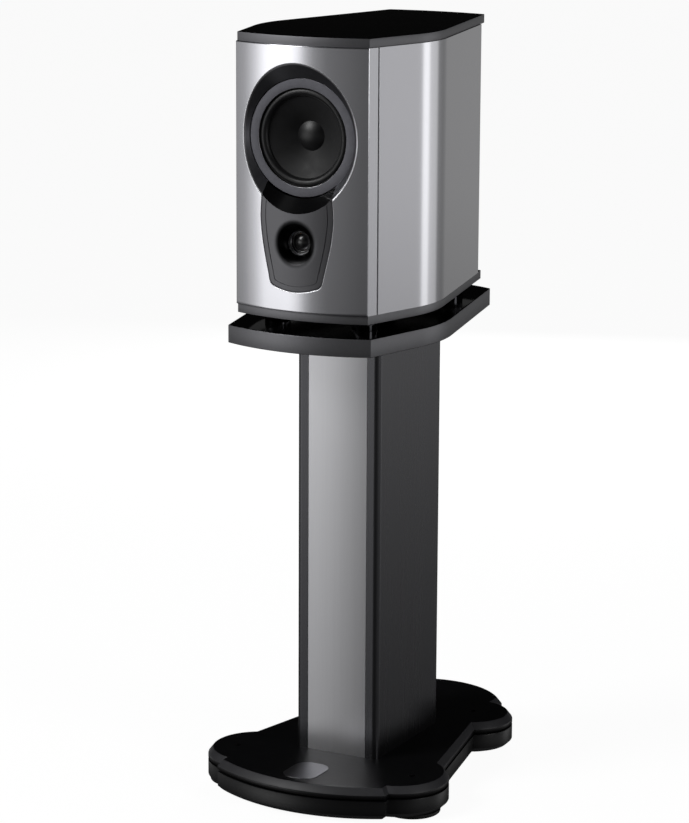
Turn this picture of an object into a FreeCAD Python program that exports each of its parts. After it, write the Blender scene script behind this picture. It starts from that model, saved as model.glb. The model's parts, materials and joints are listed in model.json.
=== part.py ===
import FreeCAD, Part
import math
import os
import Sketcher
from FreeCAD import Placement, Rotation, Vector

# Two-way bookshelf loudspeaker bolted to its own matching floor stand.
# Millimetres, +Z up, the front looks along -Y, and X = 0 is the plane of symmetry.
# The origin is on the floor, at the centre of the whole object's footprint.

doc = FreeCAD.newDocument("stand_mounted_speaker")
sheet = doc.addObject("Spreadsheet::Sheet", "sizes")


class Size:
    """A dimension that keeps both its formula, for setExpression, and its present value."""

    def __init__(self, formula, value):
        self.formula = formula
        self.value = value

    def joined(self, sign, left, right):
        a, b = as_size(left), as_size(right)
        result = {"+": a.value + b.value, "-": a.value - b.value, "*": a.value * b.value}
        value = a.value / b.value if sign == "/" else result[sign]
        return Size(f"({a.formula} {sign} {b.formula})", value)

    def __add__(self, other):
        return self.joined("+", self, other)

    def __radd__(self, other):
        return self.joined("+", other, self)

    def __sub__(self, other):
        return self.joined("-", self, other)

    def __rsub__(self, other):
        return self.joined("-", other, self)

    def __mul__(self, other):
        return self.joined("*", self, other)

    def __rmul__(self, other):
        return self.joined("*", other, self)

    def __truediv__(self, other):
        return self.joined("/", self, other)

    def __neg__(self):
        return self.joined("-", 0, self)


def as_size(number):
    return number if isinstance(number, Size) else Size(repr(number), number)


def value_of(number):
    return as_size(number).value


def root(number):
    return Size(f"sqrt({as_size(number).formula})", math.sqrt(value_of(number)))


def sine(angle):
    return Size(f"sin({as_size(angle).formula})", math.sin(math.radians(value_of(angle))))


def cosine(angle):
    return Size(f"cos({as_size(angle).formula})", math.cos(math.radians(value_of(angle))))


def dimension(alias, number, meaning):
    """One driving dimension: a row of the sheet with its meaning, its number and its alias."""
    row = dimension.row
    dimension.row += 1
    sheet.set(f"A{row}", meaning)
    sheet.set(f"B{row}", str(number))
    sheet.setAlias(f"B{row}", alias)
    return Size(f"sizes.{alias}", number)


dimension.row = 1

# ---- driving dimensions ----------------------------------------------------------------------

speaker_height = dimension("speaker_height", 430, "loudspeaker, over both cover plates")
cover_thick = dimension("cover_thick", 14, "top and bottom cover plates")
cover_half = dimension("cover_half", 112.5, "cover plate, half width at its front corners")
cover_depth = dimension("cover_depth", 450, "cover plate, front corners to rear corners")
cover_front_bow = dimension("cover_front_bow", 20.6, "how far the front edge bows forward")
cover_rear_bow = dimension("cover_rear_bow", 10, "how far the rear edge bows back")
flare_angle = dimension("flare_angle", 15.3, "sides open out from the front corners")
taper_angle = dimension("taper_angle", 12.7, "sides close in towards the rear")
bend_radius = dimension("bend_radius", 200, "bend between the two slopes of a side")
bend_back = dimension("bend_back", 153, "centre of the bend, behind the front corners")
cabinet_proud = dimension("cabinet_proud", 1, "cabinet sides stand proud of the cover plates")
baffle_proud = dimension("baffle_proud", 3, "baffle stands forward of the cover plates")
baffle_edge = dimension("baffle_edge", 20, "thickness of the baffle at its side edge")
groove_gap = dimension("groove_gap", 2, "shadow groove between baffle and side panel")
wall = dimension("wall", 18, "thickness of the cabinet boards")
cabinet_depth = dimension("cabinet_depth", 425, "front corners to the rear face of the cabinet")
woofer_up = dimension("woofer_up", 276, "woofer axis above the underside of the speaker")
tweeter_up = dimension("tweeter_up", 117.5, "tweeter axis above the underside of the speaker")
ring_outer = dimension("ring_outer", 89.5, "woofer trim ring, outer radius")
ring_inner = dimension("ring_inner", 75, "woofer trim ring, inner radius")
recess_slope = dimension("recess_slope", 1.1, "widening of the woofer recess per mm forward")
cone_radius = dimension("cone_radius", 62, "woofer cone at the surround")
cap_radius = dimension("cap_radius", 22.7, "woofer dust cap")
coil_radius = dimension("coil_radius", 19, "woofer voice coil former, inside radius")
horn_mouth = dimension("horn_mouth", 35, "waveguide mouth radius")
horn_throat = dimension("horn_throat", 18.3, "waveguide throat radius")
dome_radius = dimension("dome_radius", 13, "tweeter dome")
port_radius = dimension("port_radius", 25, "inside radius of the reflex port")
port_up = dimension("port_up", 330, "port axis above the underside of the speaker")
terminal_up = dimension("terminal_up", 112, "terminal plate centre above the underside")
post_spread = dimension("post_spread", 38, "distance between the two binding posts")
speaker_foot_tall = dimension("speaker_foot_tall", 19, "gap between speaker and stand")
speaker_foot_radius = dimension("speaker_foot_radius", 20, "standoff under the speaker")

stand_plate_thick = dimension("stand_plate_thick", 28, "top plate of the stand")
stand_plate_half = dimension("stand_plate_half", 123.5, "its half width at the front corners")
stand_plate_ahead = dimension("stand_plate_ahead", 11, "its front corners ahead of the speaker's")
stand_plate_depth = dimension("stand_plate_depth", 483, "its front corners to its rear corners")
stand_front_bow = dimension("stand_front_bow", 27, "bow of its front edge")
stand_rear_bow = dimension("stand_rear_bow", 21, "bow of its rear edge")
stand_bend_radius = dimension("stand_bend_radius", 235, "bend of its sides")
stand_flare = dimension("stand_flare", 13.5, "angle of its sides at the front")

column_tall = dimension("column_tall", 680, "column between base and top plate")
column_half = dimension("column_half", 73, "column, half width")
column_depth = dimension("column_depth", 219, "column, front to rear")
column_round = dimension("column_round", 9, "radius of the column's upright edges")
column_wall = dimension("column_wall", 6, "wall of the column tube")
column_back = dimension("column_back", 116, "column front, behind the speaker's front corners")
panel_half = dimension("panel_half", 52, "silver front panel of the column, half width")
panel_thick = dimension("panel_thick", 3, "silver front panel, thickness")

base_depth = dimension("base_depth", 606, "base, front to rear")
base_ahead = dimension("base_ahead", 46, "base front, ahead of the speaker's front corners")
base_upper_thick = dimension("base_upper_thick", 17, "upper plate of the base")
base_gap = dimension("base_gap", 3, "shadow gap between the two base plates")
base_lower_thick = dimension("base_lower_thick", 31, "lower plate of the base")
foot_tall = dimension("foot_tall", 6, "levelling foot below the base")
foot_radius = dimension("foot_radius", 45, "levelling foot disc")
stud_radius = dimension("stud_radius", 5, "levelling stud, M10")
upper_chamfer = dimension("upper_chamfer", 8, "width of the bevel round the base top")
upper_bevel_tall = dimension("upper_bevel_tall", 10, "height of that bevel")
lower_chamfer = dimension("lower_chamfer", 7, "bevel round the underside of the base")
front_arc = dimension("front_arc", 289, "base front edge radius")
front_arc_half = dimension("front_arc_half", 150, "half width of the front arc")
front_lobe = dimension("front_lobe", 82, "radius of the front lobes")
front_lobe_x = dimension("front_lobe_x", 125, "front lobe centre, from the middle")
front_lobe_y = dimension("front_lobe_y", 132, "front lobe centre, behind the base front")
rear_lobe = dimension("rear_lobe", 67, "radius of the rear lobes")
rear_lobe_x = dimension("rear_lobe_x", 98, "rear lobe centre, from the middle")
rear_lobe_y = dimension("rear_lobe_y", 461, "rear lobe centre, behind the base front")
rear_arc = dimension("rear_arc", 139, "base rear edge radius")
rear_arc_half = dimension("rear_arc_half", 110, "half width of the rear arc")
waist_x = dimension("waist_x", 172, "half width where the waist leaves the front lobe")
foot_front_x = dimension("foot_front_x", 157, "front levelling feet, from the middle")
foot_front_y = dimension("foot_front_y", 121, "front levelling feet, behind the base front")

# ---- heights and depths worked out from them -------------------------------------------------

base_lower_z = foot_tall
base_gap_z = base_lower_z + base_lower_thick
base_upper_z = base_gap_z + base_gap
base_top_z = base_upper_z + base_upper_thick
stand_plate_z = base_top_z + column_tall
stand_top_z = stand_plate_z + stand_plate_thick
speaker_z = stand_top_z + speaker_foot_tall
cabinet_z = speaker_z + cover_thick
cabinet_tall = speaker_height - 2 * cover_thick
cabinet_top_z = cabinet_z + cabinet_tall
woofer_z = speaker_z + woofer_up
tweeter_z = speaker_z + tweeter_up
port_z = speaker_z + port_up
terminal_z = speaker_z + terminal_up

base_front_y = -base_depth / 2
corner_y = base_front_y + base_ahead        # the plane through the speaker's front corners
baffle_y = corner_y - baffle_proud          # front corners of the baffle
baffle_back_y = baffle_y + baffle_edge
panel_y = baffle_back_y + groove_gap        # where the side panels begin
cabinet_back_y = corner_y + cabinet_depth
rear_board_y = cabinet_back_y - wall
column_y = corner_y + column_back
column_back_y = column_y + column_depth

baffle_half = cover_half + cabinet_proud
baffle_radius = (cover_half * cover_half + cover_front_bow * cover_front_bow) / (2 * cover_front_bow)
baffle_bow = baffle_radius - root(baffle_radius * baffle_radius - baffle_half * baffle_half)
baffle_front_y = baffle_y - baffle_bow      # the foremost line of the loudspeaker

# ---- fitting sizes that no other size follows ------------------------------------------------

CLEAR = 0.3               # gap between fitted pieces of the cabinet
RUNNING = 0.05            # radial clearance of a stem or stud that turns
BOLT = 4.0                # radius of the M8 bolts that hold speaker and stand together
BOLT_HOLE = 4.3           # its clearance hole
SCREW = 2.0               # radius of the wood screws
REBATE = 7.0              # how deep the woofer flange sits behind the corner plane
SEAT = 1.0                # the trim ring's seat, behind the corner plane
TONGUE_FLOOR = 4.0        # pocket floor of the waveguide, ahead of the corner plane
GROOVE_DEEP = 4.0         # depth of the shadow groove behind the baffle's edge
BRACE_HALF = 129.6        # half width of the window brace, up to the side panels
BRACE_THICK = 15.0
BRACE_RIM = 24.0          # solid border round the brace's window
FELT = 8.0                # thickness of the damping felt
PORT_WALL = 3.0
PORT_LONG = 150.0
TERMINAL_HOLE = 30.0      # radius of the opening behind the terminal plate
TERMINAL_THICK = 3.0
TERMINAL_SCREWS = ((38.0, 23.0), (38.0, -23.0), (-38.0, 23.0), (-38.0, -23.0))
POST_STEM = 3.0           # radius of a binding post's threaded stem, M6
POST_SOCKET = 2.05        # bore for a 4 mm banana plug
ROD = 4.0                 # radius of the M8 tie rods through the column
ROD_FOOT = 11.0           # lower end of the rods above the floor
ROD_BITE = 15.0           # thread of the rods in the stand's top plate
NUT = 7.5                 # radius of a tie rod's nut
NUT_TALL = 7.0
NUT_SEAT = 20.0           # height of the nuts' seats in the base
SPACER_INSET = 9.0        # how far the spacer between the base plates stands back

FORWARD = Rotation(Vector(1, 0, 0), 90)     # turns a lathe axis from +Z to -Y, the front
BACKWARD = Rotation(Vector(1, 0, 0), -90)   # and to +Y, the rear
UPRIGHT = Rotation()

nodes = []


# ---- helpers ---------------------------------------------------------------------------------

def bind(thing, name, number):
    if isinstance(number, Size):
        thing.setExpression(name, number.formula)
    else:
        thing.setExpression(name, repr(number))


def place(thing, rotation=UPRIGHT, across=0.0, back=0.0, up=0.0):
    """Turn the object, then bind the three coordinates of its place."""
    thing.Placement = Placement(Vector(value_of(across), value_of(back), value_of(up)), rotation)
    bind(thing, ".Placement.Base.x", across)
    bind(thing, ".Placement.Base.y", back)
    bind(thing, ".Placement.Base.z", up)
    return thing


def node(thing, label):
    thing.Label = label
    nodes.append(thing)
    return thing


def new_body(label, rotation=UPRIGHT, across=0.0, back=0.0, up=0.0):
    body = doc.addObject("PartDesign::Body", label + "_body")
    node(body, label)
    return place(body, rotation, across, back, up)


def origin_of(body, role):
    """One of the body's own base planes or axes, such as XY_Plane or Z_Axis."""
    return next(item for item in body.Origin.OriginFeatures if item.Role == role)


def arc_centre(start, end, radius):
    """Centre of the short arc that bulges to the right of the way from start to end."""
    middle = (start + end) * 0.5
    way = end - start
    rise = math.sqrt(max(radius * radius - way.Length * way.Length / 4, 0.0))
    left = Vector(-way.y, way.x, 0).normalize()
    return middle + left * (rise if radius > 0 else -rise)


def sketch(body, name, plane, loops, lift=0.0):
    """Closed loops of corners. A corner is (x, y), or (x, y, radius) where an arc leaves it:
    a positive radius bulges to the right of the way, so outwards on an anticlockwise loop."""
    drawing = body.newObject("Sketcher::SketchObject", name)
    drawing.AttachmentSupport = (origin_of(body, plane), [""])
    drawing.MapMode = "FlatFace"
    bind(drawing, ".AttachmentOffset.Base.z", lift)
    for loop in loops:
        first = drawing.GeometryCount
        points = [Vector(value_of(corner[0]), value_of(corner[1]), 0) for corner in loop]
        for index, corner in enumerate(loop):
            start, end = points[index], points[(index + 1) % len(points)]
            if len(corner) == 3:
                radius = value_of(corner[2])
                centre = arc_centre(start, end, radius)
                circle = Part.Circle(centre, Vector(0, 0, 1), abs(radius))
                low, high = (start, end) if radius > 0 else (end, start)
                low_angle = math.atan2(low.y - centre.y, low.x - centre.x)
                high_angle = math.atan2(high.y - centre.y, high.x - centre.x)
                if high_angle < low_angle:
                    high_angle += 2 * math.pi
                drawing.addGeometry(Part.ArcOfCircle(circle, low_angle, high_angle))
            else:
                drawing.addGeometry(Part.LineSegment(start, end))
        tie_loop(drawing, first, loop)
    return drawing


def edge_ends(corner):
    """Point numbers of a sketch edge's start and end, in the loop's own direction."""
    backwards = len(corner) == 3 and value_of(corner[2]) < 0
    return (2, 1) if backwards else (1, 2)


def tie_loop(drawing, first, loop):
    """Join the edges and bind every corner and radius to its formula."""
    count = len(loop)
    for index, corner in enumerate(loop):
        here, after = first + index, first + (index + 1) % count
        start, end = edge_ends(corner)
        next_start = edge_ends(loop[(index + 1) % count])[0]
        drawing.addConstraint(Sketcher.Constraint("Coincident", here, end, after, next_start))
        for kind, number in (("DistanceX", corner[0]), ("DistanceY", corner[1])):
            tie = Sketcher.Constraint(kind, -1, 1, here, start, value_of(number))
            position = drawing.addConstraint(tie)
            if isinstance(number, Size):
                drawing.setExpression(f"Constraints[{position}]", number.formula)
        if len(corner) == 3:
            radius = corner[2] if value_of(corner[2]) > 0 else -as_size(corner[2])
            position = drawing.addConstraint(Sketcher.Constraint("Radius", here, value_of(radius)))
            if isinstance(radius, Size):
                drawing.setExpression(f"Constraints[{position}]", radius.formula)


def pad(body, drawing, length, name="pad"):
    feature = body.newObject("PartDesign::Pad", name)
    feature.Profile = drawing
    bind(feature, "Length", length)
    return feature


def pocket(body, drawing, reach, name="pocket"):
    """Cuts the drawing's outline, as far as reach to both sides of its plane."""
    feature = body.newObject("PartDesign::Pocket", name)
    feature.Profile = drawing
    feature.Midplane = True
    bind(feature, "Length", 2 * as_size(reach))
    return feature


def slab(label, loops, bottom, thick):
    """A plate with an upright edge, drawn in plan."""
    body = new_body(label)
    pad(body, sketch(body, label + "_plan", "XY_Plane", loops, bottom), thick)
    return body


def lathe(label, corners, rotation=UPRIGHT, across=0.0, back=0.0, up=0.0):
    """A turned piece: corners are (radius, height along the axis)."""
    body = new_body(label, rotation, across, back, up)
    drawing = sketch(body, label + "_profile", "XZ_Plane", [corners])
    feature = body.newObject("PartDesign::Revolution", "turned")
    feature.Profile = drawing
    feature.ReferenceAxis = (drawing, ["V_Axis"])
    feature.Angle = 360
    return body


def tube(inner, outer, bottom, top):
    """Lathe profile of a plain ring."""
    return [(inner, bottom), (outer, bottom), (outer, top), (inner, top)]


def drill(body, name, radius, length, rotation, across, back, up, far_radius=None):
    """A round or conical hole cut from a point, along the rotated Z axis."""
    kind = "PartDesign::SubtractiveCylinder" if far_radius is None else "PartDesign::SubtractiveCone"
    feature = body.newObject(kind, name)
    if far_radius is None:
        bind(feature, "Radius", radius)
    else:
        bind(feature, "Radius1", radius)
        bind(feature, "Radius2", far_radius)
    bind(feature, "Height", length)
    return place(feature, rotation, across, back, up)


def cylinder(name, radius, length, rotation, across, back, up):
    feature = doc.addObject("Part::Cylinder", name)
    bind(feature, "Radius", radius)
    bind(feature, "Height", length)
    return place(feature, rotation, across, back, up)


def joined(name, base, tool):
    feature = doc.addObject("Part::Fuse", name)
    feature.Base, feature.Tool = base, tool
    return feature


def less(name, base, tool):
    feature = doc.addObject("Part::Cut", name)
    feature.Base, feature.Tool = base, tool
    return feature


def group(label, pieces):
    """Separate identical pieces that share one node."""
    compound = doc.addObject("Part::Compound", label + "_group")
    compound.Links = pieces
    return node(compound, label)


def repeat_round(body, feature, count):
    pattern = body.newObject("PartDesign::PolarPattern", "round")
    pattern.Originals = [feature]
    pattern.Axis = (origin_of(body, "Z_Axis"), [""])
    pattern.Angle = 360
    pattern.Occurrences = count
    body.Tip = pattern
    return pattern


# ---- plan outlines ---------------------------------------------------------------------------

def side_line(half, front_y, flare, bend_y, radius, taper, rear_y, inset=0.0):
    """Right-hand side in plan, front to rear: a slope, a tangent arc and a slope back in.
    Returns the four corners, the second of which starts the arc. Inset moves it inwards."""
    slope = sine(flare) / cosine(flare)
    centre_x = half + (bend_y - front_y) * slope - radius / cosine(flare)
    inner = radius - inset
    front_tangent = (centre_x + inner * cosine(flare), bend_y - inner * sine(flare), inner)
    rear_tangent = (centre_x + inner * cosine(taper), bend_y + inner * sine(taper))
    closing = sine(taper) / cosine(taper)
    front_x = front_tangent[0] - (front_tangent[1] - front_y) * slope
    rear_x = rear_tangent[0] - (rear_y - rear_tangent[1]) * closing
    return [(front_x, front_y), front_tangent, rear_tangent, (rear_x, rear_y)]


def mirrored(corners):
    """The left-hand side, walked from rear to front, with its arc on the right corner."""
    walk = [(-as_size(corner[0]), corner[1]) for corner in reversed(corners)]
    walk[1] = (*walk[1], corners[1][2])
    return walk


def shell_plan(side, front_radius=None, rear_radius=None):
    """Closed anticlockwise plan from a right-hand side: bowed or straight front and rear."""
    plan = list(side)
    if rear_radius is not None:
        plan[-1] = (*plan[-1], rear_radius)
    left = mirrored(side)
    if front_radius is not None:
        left[-1] = (*left[-1], front_radius)
    return plan + left


def bow_radius(half, bow):
    return (half * half + bow * bow) / (2 * bow)


def cabinet_side(front_y, rear_y, inset=0.0):
    """The cabinet's side, which the cover plates follow a little further in."""
    half = cover_half + cabinet_proud
    at_front = side_line(half, baffle_y, flare_angle, corner_y + bend_back, bend_radius,
                         taper_angle, rear_y, inset)
    slope = sine(flare_angle) / cosine(flare_angle)
    at_front[0] = (at_front[0][0] + (front_y - baffle_y) * slope, front_y)
    return at_front


# ---- the loudspeaker's cabinet ---------------------------------------------------------------

def cover_plan():
    side = side_line(cover_half, corner_y, flare_angle, corner_y + bend_back, bend_radius,
                     taper_angle, corner_y + cover_depth)
    rear = bow_radius(side[-1][0], cover_rear_bow)
    return shell_plan(side, bow_radius(cover_half, cover_front_bow), rear)


def cover_plates():
    bottom = slab("bottom_cover_plate", [cover_plan()], speaker_z, cover_thick)
    for x, y in foot_places():
        drill(bottom, "bolt_hole", BOLT_HOLE, cover_thick, UPRIGHT, x, y, speaker_z)
    slab("top_cover_plate", [cover_plan()], cabinet_top_z, cover_thick)


def tongue_plan(grow=0.0):
    """Shield shape of the tweeter plate in front view: a gently rounded sole, round heels, sides
    that open upwards in two slopes, and a full brow. Grow moves the whole outline outwards."""
    sole, heel, shoulder, brow = 34.0 + grow, 46.0 + grow, 56.5 + grow, 62.0 + grow
    low = tweeter_z - 67 - grow
    sole_radius = bow_radius(sole, 6.0)
    heel_radius, brow_radius = 15.0 + grow, 250.0
    right = [(sole, low, heel_radius), (heel - 3.6, tweeter_z - 59), (heel, tweeter_z - 52),
             (shoulder, tweeter_z - 5), (brow, tweeter_z + 38, brow_radius),
             (brow - 5, tweeter_z + 95)]
    left = [(-as_size(corner[0]), corner[1]) for corner in reversed(right)]
    left[0] = (*left[0], brow_radius)
    left[4] = (*left[4], heel_radius)
    left[5] = (*left[5], sole_radius)
    return right + left


def front_baffle():
    """A thick board, bowed in front and flat behind, with the two drivers' openings."""
    body = new_body("front_baffle")
    half = cover_half + cabinet_proud
    slope = sine(flare_angle) / cosine(flare_angle)
    back_half = half + baffle_edge * slope
    rabbet_half = back_half - GROOVE_DEEP
    plan = [(half, baffle_y), (back_half, baffle_back_y), (rabbet_half, baffle_back_y),
            (rabbet_half, panel_y), (-rabbet_half, panel_y), (-rabbet_half, baffle_back_y),
            (-back_half, baffle_back_y), (-half, baffle_y, baffle_radius)]
    pad(body, sketch(body, "baffle_plan", "XY_Plane", [plan], cabinet_z), cabinet_tall)
    tongue = sketch(body, "tongue_pocket", "XZ_Plane", [tongue_plan(CLEAR)], 40 - corner_y)
    pocket(body, tongue, 40 - TONGUE_FLOOR, "waveguide_pocket")
    front = 30.0
    seat_y = corner_y - baffle_proud
    drill(body, "woofer_recess", ring_outer + 0.5, front - 3, FORWARD, 0.0, seat_y, woofer_z,
          ring_outer + 0.5 + (front - 3) * recess_slope)
    drill(body, "ring_seat", ring_outer + 0.5, 30.0, FORWARD, 0.0, corner_y + SEAT, woofer_z)
    drill(body, "flange_rebate", ring_outer - 1, 20.0, FORWARD, 0.0, corner_y + REBATE, woofer_z)
    drill(body, "woofer_opening", ring_outer - 9, 60.0, FORWARD, 0.0, corner_y + 30, woofer_z)
    drill(body, "tweeter_opening", horn_mouth + 3, 60.0, FORWARD, 0.0, corner_y + 30, tweeter_z)
    return body


def side_panels():
    for label, sign in (("right_side_panel", 1), ("left_side_panel", -1)):
        outer = cabinet_side(panel_y, cabinet_back_y)
        inner = cabinet_side(panel_y, cabinet_back_y, wall)
        walk = outer + [inner[3], inner[2], inner[1][:2], inner[0]]
        walk[5] = (*inner[2], -inner[1][2])
        if sign < 0:
            walk = [(-as_size(corner[0]), *corner[1:2], *[-as_size(r) for r in corner[2:]])
                    for corner in walk]
        slab(label, [walk], cabinet_z, cabinet_tall)


def inner_boards():
    """Floor and roof boards between the side panels, and the rear board."""
    side = cabinet_side(panel_y, rear_board_y - CLEAR, wall + CLEAR)
    for label, bottom in (("cabinet_floor", cabinet_z), ("cabinet_roof", cabinet_top_z - wall)):
        body = slab(label, [shell_plan(side)], bottom, wall)
        if label == "cabinet_floor":
            for x, y in foot_places():
                drill(body, "bolt_hole", BOLT, wall, UPRIGHT, x, y, bottom)
    closing = sine(taper_angle) / cosine(taper_angle)
    far = cabinet_side(panel_y, cabinet_back_y, wall + CLEAR)[3][0]
    near = far + wall * closing
    plan = [(near, rear_board_y), (far, cabinet_back_y), (-far, cabinet_back_y),
            (-near, rear_board_y)]
    rear = slab("rear_panel", [plan], cabinet_z, cabinet_tall)
    drill(rear, "port_hole", port_radius + PORT_WALL, 3 * wall, BACKWARD, 0.0,
          rear_board_y - wall, port_z)
    drill(rear, "terminal_hole", TERMINAL_HOLE, 3 * wall, BACKWARD, 0.0,
          rear_board_y - wall, terminal_z)


def cabinet_brace():
    """A window brace across the widest part of the cabinet."""
    body = new_body("cabinet_brace")
    low, high = cabinet_z + wall, cabinet_top_z - wall
    outer = [(BRACE_HALF, low), (BRACE_HALF, high), (-BRACE_HALF, high), (-BRACE_HALF, low)]
    clear_half = BRACE_HALF - BRACE_RIM
    window = [(clear_half, low + BRACE_RIM), (clear_half, high - BRACE_RIM),
              (-clear_half, high - BRACE_RIM), (-clear_half, low + BRACE_RIM)]
    drawing = sketch(body, "brace_face", "XZ_Plane", [outer, window], -(corner_y + bend_back))
    pad(body, drawing, BRACE_THICK)


def damping_lining():
    """Felt on the inside of both side panels, behind the brace."""
    front = corner_y + bend_back + 50
    outer = cabinet_side(panel_y, rear_board_y - 40, wall + CLEAR)[3]
    inner = cabinet_side(panel_y, rear_board_y - 40, wall + CLEAR + FELT)[3]
    spread = (outer[1] - front) * sine(taper_angle) / cosine(taper_angle)
    corners = [(outer[0] + spread, front), outer, inner, (inner[0] + spread, front)]
    pieces = [[(sign * corner[0], corner[1]) for corner in corners] for sign in (1, -1)]
    body = new_body("damping_lining")
    body.AllowCompound = True
    felt_z = cabinet_z + wall + 20
    pad(body, sketch(body, "felt_plan", "XY_Plane", pieces, felt_z), 320.0)


def foot_places():
    """Where the four bolted standoffs sit between speaker and stand."""
    front_y, rear_y = corner_y + 60, corner_y + 390
    return [(76.0, front_y), (-76.0, front_y), (60.0, rear_y), (-60.0, rear_y)]


def speaker_feet():
    pieces = []
    for x, y in foot_places():
        solid = cylinder("standoff", speaker_foot_radius, speaker_foot_tall, UPRIGHT, x, y, stand_top_z)
        hole = cylinder("standoff_hole", BOLT_HOLE, speaker_foot_tall, UPRIGHT, x, y, stand_top_z)
        pieces.append(less("foot", solid, hole))
    group("speaker_feet", pieces)


def speaker_bolts():
    """Bolts that come up through the stand plate and the feet into the cabinet floor."""
    pieces = []
    head = 8.0
    for x, y in foot_places():
        long = stand_plate_thick - head + speaker_foot_tall + cover_thick + wall - 4
        shank = cylinder("shank", BOLT, long, UPRIGHT, x, y, stand_plate_z + head)
        cap = cylinder("cap", BOLT * 1.6, head - 1, UPRIGHT, x, y, stand_plate_z + 1)
        pieces.append(joined("bolt", shank, cap))
    group("speaker_bolts", pieces)


# ---- woofer: heights along its axis are measured forward from the corner plane ---------------

def woofer_lathe(label, corners):
    return lathe(label, corners, FORWARD, 0.0, corner_y, woofer_z)


def woofer_frame():
    """Cast basket: a flange, a conical wall with six windows, and a seat for the magnet."""
    flange = ring_outer - 2
    body = woofer_lathe("woofer_basket", [
        (flange, -REBATE + CLEAR), (flange, -SEAT), (ring_inner + 4, -SEAT), (ring_inner + 2, -REBATE),
        (54.0, -45.0), (21.5, -45.0), (21.5, -50.0), (56.0, -50.0), (ring_outer - 10, -14.0),
        (ring_outer - 10, -REBATE + CLEAR)])
    half, inner, outer = 16.0, 40.0, 100.0
    drawing = sketch(body, "window", "XY_Plane", [[(inner, -half), (outer, -half - 10),
                                                    (outer, half + 10), (inner, half)]], -29.0)
    window = pocket(body, drawing, 14.0, "window_pocket")
    repeat_round(body, window, 6)
    for x, y in screw_circle():
        drill(body, "screw_hole", SCREW + 0.2, 12.0, UPRIGHT, x, y, -12.0)
    woofer_lathe("woofer_gasket", tube(ring_inner + 4.5, flange, -SEAT, -SEAT + 0.5))
    woofer_lathe("woofer_trim_ring", [
        (ring_inner, -SEAT + 0.5), (ring_outer, -SEAT + 0.5), (ring_outer, 0.6),
        (ring_outer - 0.8, 1.2), (ring_inner + 0.8, 1.2), (ring_inner, 0.6)])


def woofer_motor():
    woofer_lathe("woofer_front_plate", tube(coil_radius + 1.8, 50.0, -56.0, -50.0))
    woofer_lathe("woofer_magnet", tube(30.0, 54.0, -75.0, -56.0))
    pole = coil_radius - 0.6
    woofer_lathe("woofer_back_plate", [
        (4.0, -82.0), (50.0, -82.0), (50.0, -75.0), (pole, -75.0), (pole, -50.0), (4.0, -50.0)])


def woofer_cone():
    """Everything that the voice coil moves, and the two rubber and cloth rings that hold it."""
    thick = 1.0
    woofer_lathe("woofer_cone", [
        (coil_radius, -31.0), (coil_radius, -30.0), (cone_radius, -7.5), (cone_radius, -7.5 - thick),
        (coil_radius + 2, -31.0)])
    rim, rise = -27.7, 5.7
    woofer_lathe("woofer_dust_cap", [
        (0.0, rim + rise, -bow_radius(cap_radius, rise)), (cap_radius, rim), (cap_radius, rim - 0.7),
        (cap_radius - 1.0, rim - 1.0, bow_radius(cap_radius - 1.0, rise)), (0.0, rim - 1.0 + rise)])
    woofer_lathe("woofer_voice_coil", [
        (coil_radius, -66.0), (coil_radius + 1.0, -66.0), (coil_radius + 1.0, -48.0),
        (coil_radius + 0.4, -48.0), (coil_radius + 0.4, -31.3), (coil_radius, -31.3)])
    woofer_lathe("woofer_surround", [
        (cone_radius + 0.3, -7.5), (cone_radius + 1.5, -7.3, -6.5), (ring_inner - 0.6, -1.6),
        (ring_inner + 3.5, -1.8), (ring_inner + 3.5, -2.8), (ring_inner - 1.2, -2.6, 5.8),
        (cone_radius + 2.2, -8.3), (cone_radius + 0.3, -8.5)])
    hold = coil_radius + 0.7
    woofer_lathe("woofer_spider", [
        (hold, -40.0), (28.0, -40.0), (32.0, -38.0), (36.0, -40.0), (40.0, -38.0),
        (44.0, -40.0), (56.0, -40.0), (56.0, -41.0), (43.6, -41.0), (40.0, -39.0), (36.0, -41.0),
        (32.0, -39.0), (28.0, -41.0), (hold, -41.0)])


# ---- tweeter ---------------------------------------------------------------------------------

def tweeter_lathe(label, corners):
    return lathe(label, corners, FORWARD, 0.0, corner_y, tweeter_z)


def tweeter_waveguide():
    """Shield plate whose front follows the baffle's bow, with a horn down to the dome."""
    body = new_body("tweeter_waveguide")
    drawing = sketch(body, "shield", "XZ_Plane", [tongue_plan(-CLEAR)], TONGUE_FLOOR - corner_y)
    pad(body, drawing, 30.0)
    half, below_flush = 80.0, 0.6
    bow_y = baffle_front_y + baffle_radius - root(baffle_radius * baffle_radius - half * half)
    ahead = [(-half, corner_y - 60), (-half, bow_y + below_flush, baffle_radius),
             (half, bow_y + below_flush), (half, corner_y - 60)]
    pocket(body, sketch(body, "bow", "XY_Plane", [ahead], tweeter_z), 200.0, "bowed_front")
    deep = 40.0
    drill(body, "recess_cut", ring_outer + 0.5, deep, FORWARD, 0.0, corner_y - baffle_proud, woofer_z,
          ring_outer + 0.5 + deep * recess_slope)
    horn = 24.0
    drill(body, "throat", horn_throat, 20.0, FORWARD, 0.0, corner_y, tweeter_z)
    drill(body, "horn", horn_throat, horn - TONGUE_FLOOR - 1.5, FORWARD, 0.0,
          corner_y - TONGUE_FLOOR - 1.5, tweeter_z, horn_mouth)


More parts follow.
